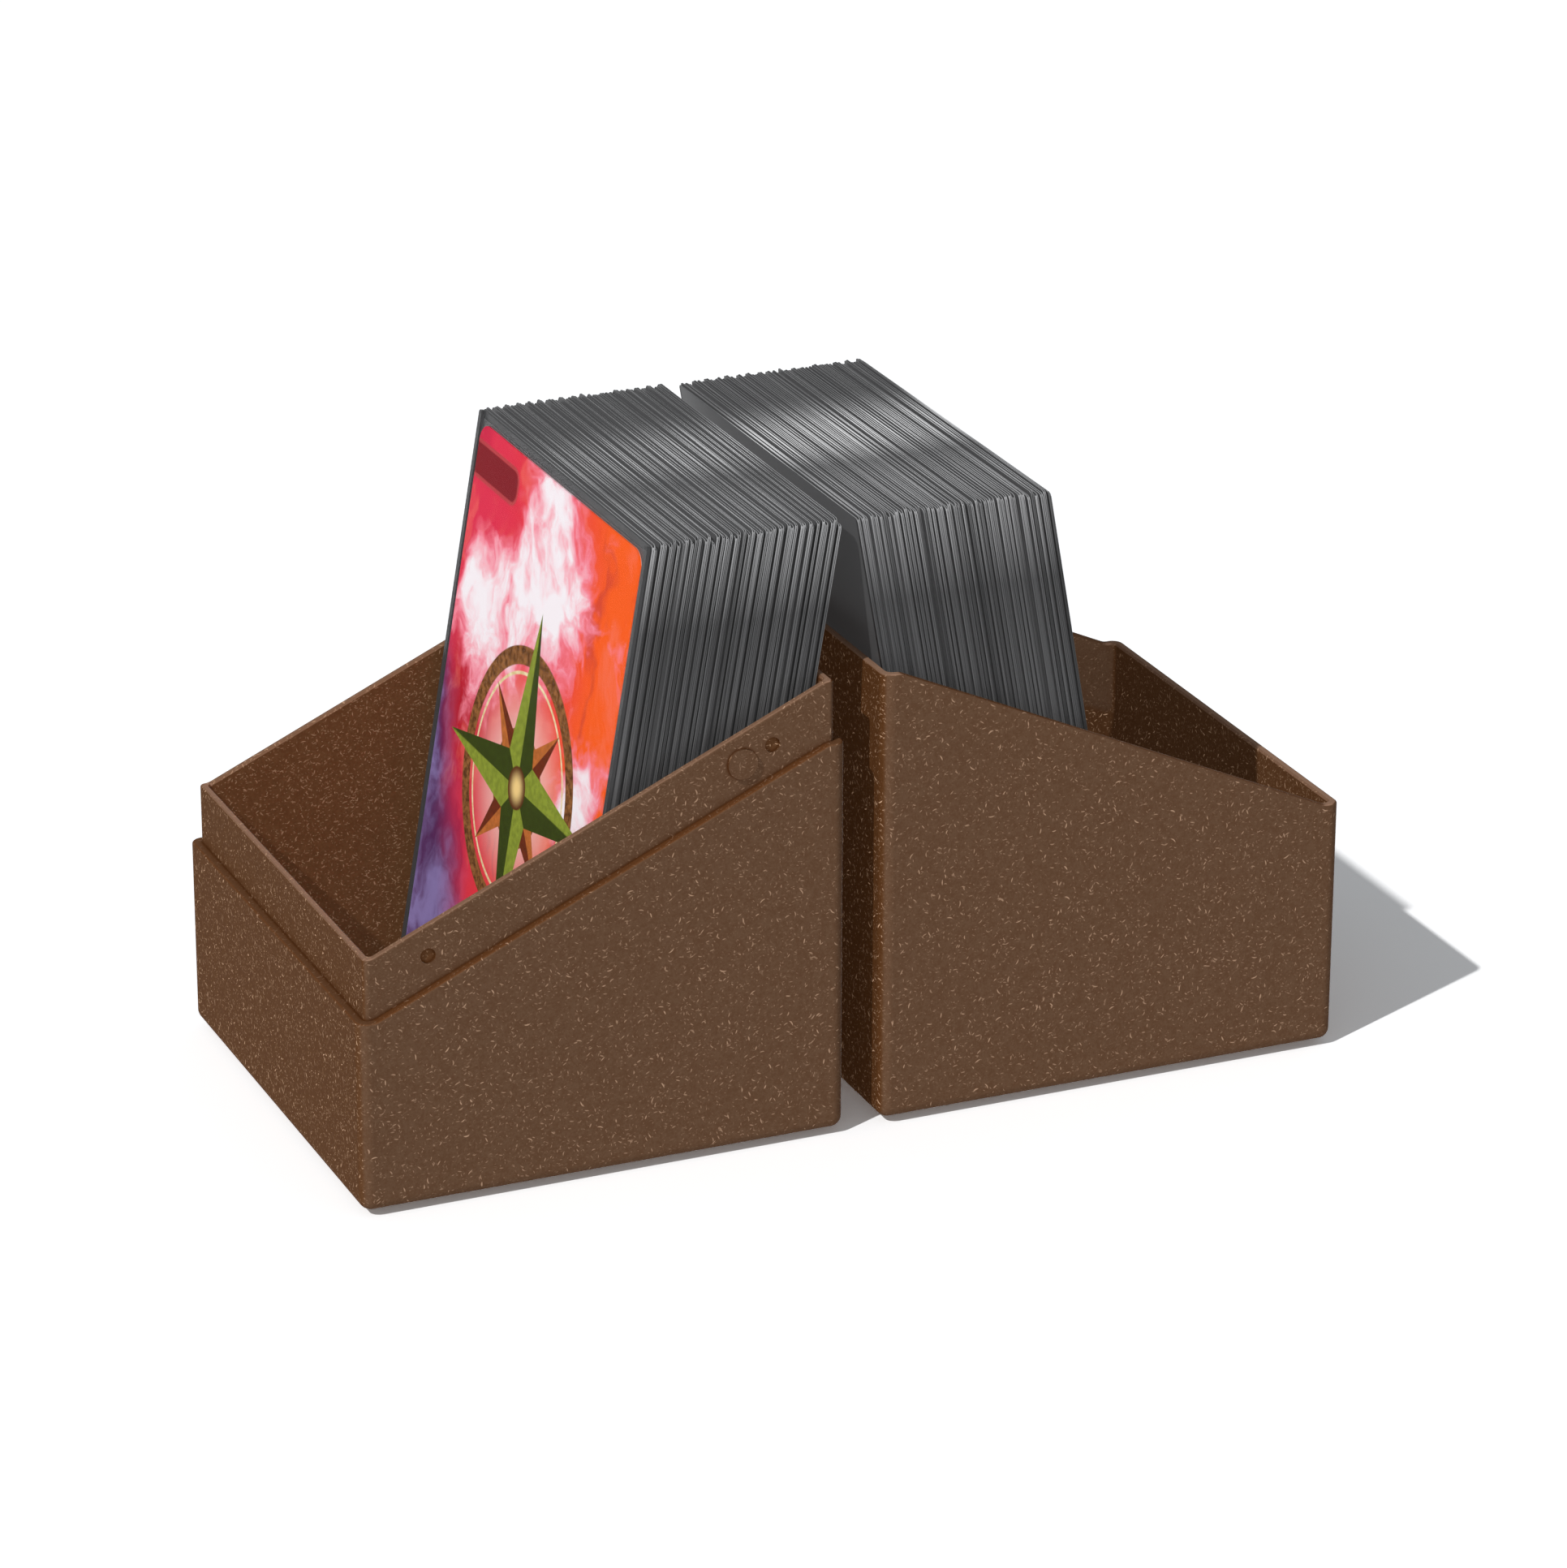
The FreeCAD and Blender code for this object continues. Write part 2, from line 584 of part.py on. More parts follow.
os.makedirs("parts", exist_ok=True)
for piece in pieces:
    piece.Shape.exportStep(f"parts/{piece.Label}.step")
    print(f"{piece.Label}: {len(piece.Shape.Solids)} solids, {piece.Shape.Volume / 1000:.2f} cm3")
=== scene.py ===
"""Dresses an open two-part deck box, its sleeved cards and a small studio for them."""

from __future__ import annotations

import json
import logging
import math
import random
from dataclasses import dataclass, field
from enum import Enum
from typing import Any, Callable, ClassVar, Union

import bmesh
import bpy
from mathutils import Matrix, Vector

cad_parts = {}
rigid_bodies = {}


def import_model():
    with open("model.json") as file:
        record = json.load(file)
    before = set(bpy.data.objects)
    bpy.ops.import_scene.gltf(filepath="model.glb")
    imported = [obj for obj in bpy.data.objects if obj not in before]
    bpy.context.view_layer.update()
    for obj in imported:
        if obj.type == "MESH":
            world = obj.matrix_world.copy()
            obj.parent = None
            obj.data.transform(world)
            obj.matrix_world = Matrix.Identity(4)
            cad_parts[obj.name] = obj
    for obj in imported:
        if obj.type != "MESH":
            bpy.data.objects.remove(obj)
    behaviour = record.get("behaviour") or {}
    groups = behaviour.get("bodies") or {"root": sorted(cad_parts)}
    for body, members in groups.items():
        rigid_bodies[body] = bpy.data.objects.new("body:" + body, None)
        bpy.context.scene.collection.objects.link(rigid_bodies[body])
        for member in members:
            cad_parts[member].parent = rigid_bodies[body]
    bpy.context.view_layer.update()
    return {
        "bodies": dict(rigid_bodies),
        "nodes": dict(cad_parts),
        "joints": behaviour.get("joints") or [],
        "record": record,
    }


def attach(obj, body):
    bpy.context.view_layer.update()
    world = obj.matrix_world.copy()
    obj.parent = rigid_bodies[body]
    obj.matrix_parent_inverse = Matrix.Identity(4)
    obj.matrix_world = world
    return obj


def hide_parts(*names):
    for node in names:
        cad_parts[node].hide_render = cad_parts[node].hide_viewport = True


LOG = logging.getLogger("deck_box")
MM = 0.001

# A sleeve's UV is in tenths of a metre.
UV_SCALE = 10.0
# Shorter than any edge of a sheet.
HAIR = 0.001 * MM
# A face looks along an axis when its normal reaches this far along it.
FACING = 0.8
# Where the first card of each half stands, in metres, and how far its pack leans.
BASE_FOOT = (-0.0468485, 0.0, 0.0027073)
COVER_FOOT = (0.0162811, 0.0, 0.0026)
BASE_LEAN = math.radians(9.65)
COVER_LEAN = math.radians(10.1)

Socket = bpy.types.NodeSocket
Feed = Union[float, int, tuple, Socket]
Colour = tuple[float, float, float]
Triple = tuple[float, float, float]
Span = tuple[float, float]


def srgb(red: int, green: int, blue: int) -> Colour:
    """Turns a display colour into the linear one that shaders take.

    Args:
        red: Red, 0 to 255.
        green: Green, 0 to 255.
        blue: Blue, 0 to 255.

    Returns:
        The linear colour.
    """
    def linear(level: int) -> float:
        """One channel, from display to linear."""
        share = level / 255
        return share / 12.92 if share <= 0.04045 else ((share + 0.055) / 1.055) ** 2.4

    return linear(red), linear(green), linear(blue)


class Ease(Enum):
    """How a value eases from one level to another."""

    STRAIGHT = "LINEAR"
    SMOOTH = "SMOOTHSTEP"


class Half(Enum):
    """The two halves of the deck box."""

    BASE = "base"
    COVER = "cover"


# --- laying out shader nodes -----------------------------------------------------------------


class Bench:
    """Lays out one node tree: adds nodes, fills their sockets and joins them."""

    def __init__(self, tree: bpy.types.NodeTree) -> None:
        """Takes a node tree and empties it.

        Args:
            tree: The tree to lay out.
        """
        self.tree = tree
        tree.nodes.clear()

    def feed(self, socket: Socket, value: Feed) -> None:
        """Joins a socket to another, or sets its plain value.

        Args:
            socket: The input to fill.
            value: An output socket, a number or a tuple of numbers.
        """
        if isinstance(value, Socket):
            self.tree.links.new(value, socket)
        elif isinstance(value, tuple) and len(value) == 3 and socket.type == "RGBA":
            socket.default_value = (*value, 1.0)
        else:
            socket.default_value = value

    def add(
        self, kind: str, feeds: dict[Any, Feed] | None = None, **settings: Any
    ) -> bpy.types.Node:
        """Adds a node, sets it up and feeds its inputs.

        Args:
            kind: Blender's name of the node type.
            feeds: Inputs by name or number, with what each one takes.
            settings: The node's own settings.

        Returns:
            The node.
        """
        node = self.tree.nodes.new(kind)
        for name, value in settings.items():
            setattr(node, name, value)
        for key, value in (feeds or {}).items():
            self.feed(node.inputs[key], value)
        return node

    def sum(self, operation: str, *terms: Feed, clamp: bool = False) -> Socket:
        """Works a Math node.

        Args:
            operation: The Math node's operation.
            terms: Its inputs, in order.
            clamp: Whether the result stays between 0 and 1.

        Returns:
            The result's socket.
        """
        feeds = dict(enumerate(terms))
        return self.add("ShaderNodeMath", feeds, operation=operation, use_clamp=clamp).outputs[0]

    def vector(self, operation: str, *terms: Feed, out: int = 0) -> Socket:
        """Works a Vector Math node.

        Args:
            operation: The node's operation.
            terms: Its inputs, in order.
            out: 0 for a vector result, 1 for a number.

        Returns:
            The result's socket.
        """
        feeds = dict(enumerate(terms))
        return self.add("ShaderNodeVectorMath", feeds, operation=operation).outputs[out]

    def plus(self, first: Feed, second: Feed) -> Socket:
        """Two numbers added up."""
        return self.sum("ADD", first, second)

    def minus(self, first: Feed, second: Feed) -> Socket:
        """The first number less the second."""
        return self.sum("SUBTRACT", first, second)

    def times(self, first: Feed, second: Feed, clamp: bool = False) -> Socket:
        """The product of two numbers."""
        return self.sum("MULTIPLY", first, second, clamp=clamp)

    def most(self, first: Feed, second: Feed) -> Socket:
        """The greater of two numbers."""
        return self.sum("MAXIMUM", first, second)

    def size(self, value: Feed) -> Socket:
        """A number without its sign."""
        return self.sum("ABSOLUTE", value)

    def apart(self, first: Feed, second: Feed) -> Socket:
        """How far apart two numbers are."""
        return self.size(self.minus(first, second))

    def scaled(self, vector: Feed, factor: Feed) -> Socket:
        """A vector times one number."""
        node = self.add("ShaderNodeVectorMath", {0: vector, "Scale": factor}, operation="SCALE")
        return node.outputs[0]

    def join(self, across: Feed = 0.0, up: Feed = 0.0, through: Feed = 0.0) -> Socket:
        """Three numbers made one vector."""
        return self.add("ShaderNodeCombineXYZ", {0: across, 1: up, 2: through}).outputs[0]

    def split(self, vector: Feed) -> tuple[Socket, ...]:
        """A vector's three numbers."""
        return tuple(self.add("ShaderNodeSeparateXYZ", {0: vector}).outputs)

    def ramp(
        self,
        value: Feed,
        low: float,
        high: float,
        to_low: Feed = 0.0,
        to_high: Feed = 1.0,
        ease: Ease = Ease.SMOOTH,
    ) -> Socket:
        """Eases a value from one range into another.

        Args:
            value: What is read.
            low: Where the easing starts.
            high: Where it ends.
            to_low: The result up to the start.
            to_high: The result from the end on.
            ease: How it eases in between.

        Returns:
            The result's socket.
        """
        feeds = {0: value, 1: low, 2: high, 3: to_low, 4: to_high}
        node = self.add("ShaderNodeMapRange", feeds, interpolation_type=ease.value, clamp=True)
        return node.outputs[0]

    def blend(self, share: Feed, first: Feed, second: Feed) -> Socket:
        """One number blended into another, by a share from 0 to 1."""
        return self.ramp(share, 0.0, 1.0, first, second, Ease.STRAIGHT)

    def mix(self, factor: Feed, first: Feed, second: Feed, mode: str = "MIX") -> Socket:
        """Mixes two colours.

        Args:
            factor: Share of the second colour.
            first: The first colour.
            second: The second colour.
            mode: The Mix node's blend mode.

        Returns:
            The mixed colour's socket.
        """
        node = self.add("ShaderNodeMix", data_type="RGBA", blend_type=mode)
        colours = [socket for socket in node.inputs if socket.type == "RGBA"]
        self.feed(node.inputs[0], factor)
        self.feed(colours[0], first)
        self.feed(colours[1], second)
        return next(socket for socket in node.outputs if socket.type == "RGBA")

    def noise(
        self, vector: Feed, scale: float, detail: float = 2.0, roughness: float = 0.5, out: int = 0
    ) -> Socket:
        """A Noise Texture.

        Args:
            vector: Where it is read.
            scale: Its scale.
            detail: How many octaves it has.
            roughness: How strong the finer octaves are.
            out: 0 for the value, 1 for the colour.

        Returns:
            The texture's socket.
        """
        feeds = {"Vector": vector, "Scale": scale, "Detail": detail, "Roughness": roughness}
        return self.add("ShaderNodeTexNoise", feeds).outputs[out]

    def group(self, tree: bpy.types.NodeTree, feeds: dict[str, Feed]) -> bpy.types.Node:
        """Places a node group.

        Args:
            tree: The group's tree.
            feeds: Its inputs by name.

        Returns:
            The group's node.
        """
        node = self.tree.nodes.new("ShaderNodeGroup")
        node.node_tree = tree
        for name, value in feeds.items():
            self.feed(node.inputs[name], value)
        return node


GROUPS: dict[str, bpy.types.NodeTree] = {}
SOCKETS = {float: "NodeSocketFloat", Vector: "NodeSocketVector", Colour: "NodeSocketColor"}


def node_group(
    name: str,
    inputs: dict[str, Any],
    outputs: dict[str, Any],
    lay_out: Callable[[Bench, Any], dict[str, Feed]],
) -> bpy.types.NodeTree:
    """Builds a shader node group once, and hands out the same one after that.

    Args:
        name: The group's name.
        inputs: Names of its inputs, with float, Vector or Colour for each.
        outputs: Names of its outputs, in the same way.
        lay_out: Lays out the nodes and returns what feeds each output.

    Returns:
        The group's tree.
    """
    if name in GROUPS:
        return GROUPS[name]
    tree = bpy.data.node_groups.new(name, "ShaderNodeTree")
    for socket, kind in inputs.items():
        tree.interface.new_socket(socket, in_out="INPUT", socket_type=SOCKETS[kind])
    for socket, kind in outputs.items():
        tree.interface.new_socket(socket, in_out="OUTPUT", socket_type=SOCKETS[kind])
    bench = Bench(tree)
    source = bench.add("NodeGroupInput")
    sink = bench.add("NodeGroupOutput")
    for socket, value in lay_out(bench, source.outputs).items():
        bench.feed(sink.inputs[socket], value)
    GROUPS[name] = tree
    return tree


def fibre_flecks() -> bpy.types.NodeTree:
    """Short curled fibres scattered through a solid, one to a cell.

    Returns:
        A group with the mask of the fibres and how light each one is.
    """
    def lay_out(bench: Bench, given: Any) -> dict[str, Feed]:
        """Lays a turned, bent and flattened fibre round each cell's middle.

        Args:
            bench: The group's bench.
            given: The group's inputs by name.

        Returns:
            What feeds each output.
        """
        spot = bench.vector("ADD", bench.scaled(given["Vector"], given["Cells"]), given["Shift"])
        cells = bench.add("ShaderNodeTexVoronoi", {"Vector": spot, "Scale": 1.0}, feature="F1")
        local = bench.vector("SUBTRACT", spot, cells.outputs["Position"])
        turn = bench.scaled(cells.outputs["Color"], math.tau)
        turned, facing = (
            bench.add(
                "ShaderNodeVectorRotate",
                {"Vector": vector, "Rotation": turn},
                rotation_type="EULER_XYZ",
            ).outputs[0]
            for vector in (local, given["Normal"])
        )
        flat_on = bench.size(bench.split(facing)[1])
        along, across, through = bench.split(turned)
        bend = bench.times(bench.times(along, along), given["Curl"])
        across = bench.minus(across, bend)
        pick, tone, _ = bench.split(cells.outputs["Color"])
        stretch = bench.blend(pick, 0.45, 1.2)
        length = bench.times(given["Length"], stretch)
        shape = bench.join(
            bench.sum("DIVIDE", along, length),
            bench.sum("DIVIDE", across, given["Width"]),
            bench.sum("DIVIDE", through, bench.times(given["Length"], 0.8)),
        )
        far = bench.vector("LENGTH", shape, out=1)
        edge_on = bench.ramp(flat_on, 0.9, 0.75)
        return {"Mask": bench.times(bench.ramp(far, 1.0, 0.5), edge_on), "Tone": tone}

    inputs = {
        "Vector": Vector, "Normal": Vector, "Shift": Vector,
        "Cells": float, "Length": float, "Width": float, "Curl": float,
    }
    return node_group("FibreFlecks", inputs, {"Mask": float, "Tone": float}, lay_out)


def moulded_skin() -> bpy.types.NodeTree:
    """The faint cloudiness and the fine grain of a moulded skin.

    Returns:
        A group with a slow mottle and the height of the grain.
    """
    def lay_out(bench: Bench, given: Any) -> dict[str, Feed]:
        """Layers slow and fine noise.

        Args:
            bench: The group's bench.
            given: The group's inputs by name.

        Returns:
            What feeds each output.
        """
        mottle = bench.noise(given["Vector"], 700.0, 4.0, 0.6)
        speck = bench.noise(given["Vector"], 2600.0, 3.0, 0.6)
        pebble = bench.noise(given["Vector"], 1500.0, 2.0, 0.5)
        tone = bench.plus(bench.times(mottle, 0.4), bench.times(speck, 0.6))
        return {"Mottle": tone, "Height": bench.times(pebble, given["Grain"])}

    inputs = {"Vector": Vector, "Grain": float}
    return node_group("MouldedSkin", inputs, {"Mottle": float, "Height": float}, lay_out)


def printed_star() -> bpy.types.NodeTree:
    """A faceted star on a flat print, measured in millimetres.

    Returns:
        A group with the star's mask and which of its facets are the lit ones.
    """
    def lay_out(bench: Bench, given: Any) -> dict[str, Feed]:
        """Folds the plane into one half arm and cuts it with the arm's edge.

        Args:
            bench: The group's bench.
            given: The group's inputs by name.

        Returns:
            What feeds each output.
        """
        across, up, _ = bench.split(given["Vector"])
        reach = bench.vector("LENGTH", given["Vector"], out=1)
        angle = bench.plus(bench.sum("ARCTAN2", up, across), given["Turn"])
        half_arm = bench.sum("DIVIDE", math.pi, given["Arms"])
        fold = bench.sum("PINGPONG", angle, half_arm)
        along = bench.times(reach, bench.sum("COSINE", fold))
        beside = bench.times(reach, bench.sum("SINE", fold))
        valley_along = bench.times(given["Valley"], bench.sum("COSINE", half_arm))
        valley_beside = bench.times(given["Valley"], bench.sum("SINE", half_arm))
        short = bench.times(bench.minus(valley_along, given["Tip"]), beside)
        left = bench.times(valley_beside, bench.minus(given["Tip"], along))
        inside = bench.plus(short, left)
        wave = bench.sum("SINE", bench.times(angle, given["Arms"]))
        return {"Mask": bench.ramp(inside, 0.0, 1.2), "Facet": bench.ramp(wave, -0.04, 0.04)}

    inputs = {"Vector": Vector, "Arms": float, "Tip": float, "Valley": float, "Turn": float}
    return node_group("PrintedStar", inputs, {"Mask": float, "Facet": float}, lay_out)


def cloudy_sky() -> bpy.types.NodeTree:
    """Glowing clouds for a printed card: orange, red, pink, white and lavender.

    Returns:
        A group with the sky's colour, read in card heights across and up.
    """
    def lay_out(bench: Bench, given: Any) -> dict[str, Feed]:
        """Paints the warm side, the cool corner and the clouds between them.

        Args:
            bench: The group's bench.
            given: The group's inputs by name.

        Returns:
            What feeds each output.
        """
        place = given["Vector"]
        stir = bench.vector("SUBTRACT", bench.noise(place, 2.6, 4.0, 0.55, out=1), (0.5, 0.5, 0.5))
        stirred = bench.vector("ADD", place, bench.scaled(stir, 0.5))
        billow = bench.noise(stirred, 5.0, 7.0, 0.6)
        wisp = bench.noise(bench.vector("MULTIPLY", stirred, (3.0, 1.0, 1.0)), 4.0, 6.0, 0.65)
        across, up, _ = bench.split(bench.vector("ADD", place, bench.scaled(stir, 0.3)))

        def glow(right: float, high: float, reach: float) -> Socket:
            """How near a place is to the middle of a soft round light."""
            away = bench.vector("SUBTRACT", bench.join(across, up), (right, high, 0.0))
            return bench.ramp(bench.vector("LENGTH", away, out=1), reach, 0.0)

        sky = bench.mix(bench.ramp(across, -0.3, 0.02), srgb(228, 50, 80), srgb(240, 60, 62))
        sky = bench.mix(bench.ramp(across, 0.05, 0.26), sky, srgb(255, 96, 28))
        sky = bench.mix(bench.times(glow(-0.3, 0.5, 0.24), 0.85), sky, srgb(178, 22, 30))
        sky = bench.mix(bench.times(glow(0.22, 0.26, 0.3), 0.8), sky, srgb(226, 30, 30))
        streak = bench.ramp(wisp, 0.52, 0.66)
        sky = bench.mix(bench.times(streak, 0.35), sky, srgb(255, 130, 110))
        trough = bench.ramp(wisp, 0.46, 0.34)
        sky = bench.mix(bench.times(trough, 0.4), sky, srgb(170, 16, 60))
        # Across, up, reach and strength of each bright place in the clouds.
        brighter = (
            (0.02, 0.84, 0.34, 0.36),
            (0.22, 0.54, 0.16, 0.3),
            (-0.24, 0.7, 0.2, 0.26),
            (0.06, 0.2, 0.14, 0.18),
        )
        light: Feed = 0.0
        for right, high, reach, share in brighter:
            light = bench.plus(light, bench.times(glow(right, high, reach), share))
        cloud = bench.minus(bench.plus(billow, light), 0.08)
        sky = bench.mix(bench.ramp(cloud, 0.5, 0.64), sky, srgb(255, 140, 160))
        sky = bench.mix(bench.ramp(cloud, 0.58, 0.76), sky, srgb(255, 246, 250))
        corner = bench.plus(bench.times(across, 1.6), up)
        dusk = bench.mix(bench.ramp(billow, 0.38, 0.62), srgb(84, 40, 88), srgb(140, 122, 176))
        return {"Color": bench.mix(bench.ramp(corner, 0.08, -0.2), sky, dusk)}

    return node_group("CloudySky", {"Vector": Vector}, {"Color": Colour}, lay_out)


# --- finishes --------------------------------------------------------------------------------


class Finish:
    """A finish: its nodes, and the one shader that they feed."""

    name: str
    shader: ClassVar[str] = "ShaderNodeBsdfPrincipled"

    def surface(self, bench: Bench) -> dict[str, Feed]:
        """Lays out the finish.

        Args:
            bench: The material's bench.

        Returns:
            The shader's inputs by name.
        """
        raise NotImplementedError

    def make(self) -> bpy.types.Material:
        """Builds the material.

        Returns:
            The material.
        """
        material = bpy.data.materials.new(self.name)
        material.use_nodes = True
        bench = Bench(material.node_tree)
        shader = bench.add(self.shader, self.surface(bench))
        bench.add("ShaderNodeOutputMaterial", {"Surface": shader.outputs[0]})
        return material


def in_sight(bench: Bench) -> Socket:
    """Tells rays of sight from rays that carry light on.

    Args:
        bench: The bench of the material or the world.

    Returns:
        1 for rays from the camera, also mirrored or through film, and 0 for the rest.
    """
    path = bench.add("ShaderNodeLightPath")
    seen = bench.most(path.outputs["Is Camera Ray"], path.outputs["Is Glossy Ray"])
    return bench.most(seen, path.outputs["Is Transmission Ray"])


def dress_node(frame: dict[str, Any], node: str, finish: bpy.types.Material) -> None:
    """Gives a node of the frame one finish all over.

    Args:
        frame: The loaded frame.
        node: The node's name.
        finish: Its material.
    """
    for slot in frame["nodes"][node].material_slots:
        slot.material = finish
    LOG.info("dressed %s", node)


@dataclass(frozen=True)
class FibreLayer:
    """One size of fibre: cells to a metre, the fibre's shape in cells, and how light it is."""

    shift: Triple
    cells: float
    length: float
    width: float
    curl: float
    faint: float
    strong: float


@dataclass(frozen=True)
class WallSpot:
    """Where a place is on a moulded half, in metres, and which way it faces."""

    across: Socket
    along: Socket
    height: Socket
    tilt: Socket
    up: Socket


@dataclass(frozen=True)
class FibreComposite(Finish):
    """Brown moulded composite with cream fibres in it, and painted highlights, painted shade and
    painted bounce light in its colour.
    """

    name: str = "fibre_composite"
    body: Colour = srgb(98, 73, 55)
    shade: Colour = srgb(91, 65, 47)
    fibre: Colour = srgb(184, 150, 124)
    # Fibres where bounce light is painted are drawn lighter.
    bounce_fibre: Colour = srgb(204, 166, 134)
    # Painted shade round discs, in dimples and at the foot of the lip.
    crease_shade: Colour = srgb(70, 38, 14)
    # Painted highlight for the rims. Painted shade for the ledge below the lip, for its slanted
    # parts and for the rims that slope away from the key lamp.
    rim: Colour = srgb(150, 117, 96)
    ledge: Colour = srgb(112, 72, 42)
    slanted_ledge: Colour = srgb(96, 60, 34)
    # A warmer tint multiplied in as painted bounce light and shade on the insides and end walls.
    bounce_tint: Colour = (0.89, 0.73, 0.54)
    # Painted shade multiplied into the two end walls that face each other across the gap.
    between: Colour = (0.84, 0.76, 0.62)
    crease: float = 0.6 * MM
    hollow: float = 2.0 * MM
    grain: float = 0.03
    fibre_rise: float = 0.01
    fibre_rarity: float = 2.0
    fibre_share: Span = (0.85, 1.45)
    bump_strength: float = 0.35
    bump_distance: float = 0.002
    roughness: Span = (0.55, 0.66)
    gloss: float = 0.01
    slope: float = math.tan(math.radians(24.3))
    rim_level: float = 72.05 * MM
    ledge_level: float = 62.82 * MM
    level_reach: Span = (1.5 * MM, 1.3 * MM)
    gap_reach: Span = (4.4 * MM, 3.4 * MM)
    middle: float = 40.1 * MM
    inside_across: Span = (36.3 * MM, 36.0 * MM)
    inside_along: Span = (36.0 * MM, 35.7 * MM)
    inside_up: Span = (0.5 * MM, 1.5 * MM)
    lying: Span = (0.45, 0.8)
    end_on: Span = (0.6, 0.9)
    slanting: Span = (0.1, 0.35)
    layers: tuple[FibreLayer, ...] = (
        FibreLayer((0.0, 0.0, 0.0), 640.0, 0.40, 0.068, 0.7, 0.1, 0.945),
        FibreLayer((7.3, 2.1, 5.7), 780.0, 0.40, 0.077, -0.8, 0.12, 0.783),
        FibreLayer((5.1, 4.6, 9.8), 1000.0, 0.42, 0.088, 0.9, 0.12, 0.567),
        FibreLayer((3.9, 8.4, 1.2), 1400.0, 0.44, 0.11, 0.7, 0.08, 0.567),
        FibreLayer((1.7, 3.3, 6.4), 1900.0, 0.46, 0.14, 0.5, 0.05, 0.405),
    )

    def surface(self, bench: Bench) -> dict[str, Feed]:
        """Lays out the composite, its fibres, its painted rim highlights, and its painted shade
        and bounce light on the ledge, in the hollows and on the walls.

        Args:
            bench: The material's bench.

        Returns:
            The shader's inputs by name.
        """
        texture = bench.add("ShaderNodeTexCoord")
        place, normal = texture.outputs["Object"], texture.outputs["Normal"]
        tilt, _, up = bench.split(normal)
        spot = WallSpot(*bench.split(place), tilt, up)
        skin = bench.group(moulded_skin(), {"Vector": place, "Grain": self.grain})
        mottle = skin.outputs["Mottle"]
        colour = bench.mix(bench.ramp(mottle, 0.38, 0.62), self.shade, self.body)
        # The insides and end walls are multiplied warmer as painted bounce light and shade.
        bounce_mask, gap_wall_shade = self.painted_bounce_places(bench, spot)
        colour = bench.mix(bounce_mask, colour, self.bounce_tint, mode="MULTIPLY")
        # Painted shade on the end walls that face each other across the gap.
        colour = bench.mix(gap_wall_shade, colour, self.between, mode="MULTIPLY")
        # Painted highlight on the rims and painted shade on the ledge.
        colour = self.paint_rim_light_and_ledge_shade(bench, spot, colour)
        cover = self.scatter(bench, place, normal)
        # Fibres are drawn more often and lighter where bounce light is painted.
        cover = bench.times(cover, bench.ramp(bounce_mask, 0.0, 1.0, *self.fibre_share), clamp=True)
        colour = bench.mix(cover, colour, bench.mix(bounce_mask, self.fibre, self.bounce_fibre))
        # Painted shade in the creases.
        colour = bench.mix(self.creases(bench), colour, self.crease_shade)
        relief = bench.plus(skin.outputs["Height"], bench.times(cover, self.fibre_rise))
        feeds = {"Height": relief, "Strength": self.bump_strength, "Distance": self.bump_distance}
        bump = bench.add("ShaderNodeBump", feeds)
        rough = bench.ramp(mottle, 0.3, 0.7, *self.roughness)
        return {
            "Base Color": colour,
            "Roughness": rough,
            "Specular IOR Level": self.gloss,
            "Normal": bump.outputs[0],
        }

    def scatter(self, bench: Bench, place: Feed, normal: Feed) -> Socket:
        """Scatters every layer of fibres.

        Args:
            bench: The material's bench.
            place: Where the surface is, in the object's own coordinates.
            normal: Which way it faces, in the same coordinates.

        Returns:
            How much of the place a fibre covers.
        """
        cover: Feed = 0.0
        for layer in self.layers:
            feeds = {
                "Vector": place, "Normal": normal, "Shift": layer.shift, "Cells": layer.cells,
                "Length": layer.length, "Width": layer.width, "Curl": layer.curl,
            }
            flecks = bench.group(fibre_flecks(), feeds)
            rare = bench.sum("POWER", flecks.outputs["Tone"], self.fibre_rarity)
            tone = bench.blend(rare, layer.faint, layer.strong)
            cover = bench.most(bench.times(flecks.outputs["Mask"], tone), cover)
        return cover

    def paint_rim_light_and_ledge_shade(self, bench: Bench, spot: WallSpot, under: Feed) -> Socket:
        """Paints a highlight on the rims, whose tops slope with both halves, and paints shade on
        the ledge below the lip.

        Args:
            bench: The material's bench.
            spot: Where the surface is and which way it faces.
            under: The colour so far.

        Returns:
            The colour with the painted rim highlight and the painted ledge shade on it.
        """
        fall = bench.times(bench.size(spot.across), self.slope)
        level = bench.plus(spot.height, fall)
        flat = bench.ramp(spot.up, *self.lying)
        ledge, rim = (
            bench.times(flat, bench.ramp(bench.apart(level, height), *self.level_reach))
            for height in (self.ledge_level, self.rim_level)
        )
        low, high = self.slanting
        slanted = bench.ramp(bench.size(spot.tilt), low, high)
        ledge_shade_tone = bench.mix(slanted, self.ledge, self.slanted_ledge)
        share = bench.blend(slanted, 0.5, 1.0)
        colour = bench.mix(bench.times(ledge, share), under, ledge_shade_tone)
        # The painted rim highlight is strong where a rim slopes towards the key lamp and gone
        # where it slopes away.
        light = bench.sum(
            "MINIMUM",
            bench.ramp(spot.tilt, -high, -low, 0.5, 0.95),
            bench.ramp(spot.tilt, low, high, 0.95, 0.0),
        )
        colour = bench.mix(bench.times(rim, light), colour, self.rim)
        # Painted shade on the rims that slope away from the key lamp.
        lee = bench.times(rim, bench.ramp(spot.tilt, low, high, 0.0, 0.6))
        return bench.mix(lee, colour, self.slanted_ledge)

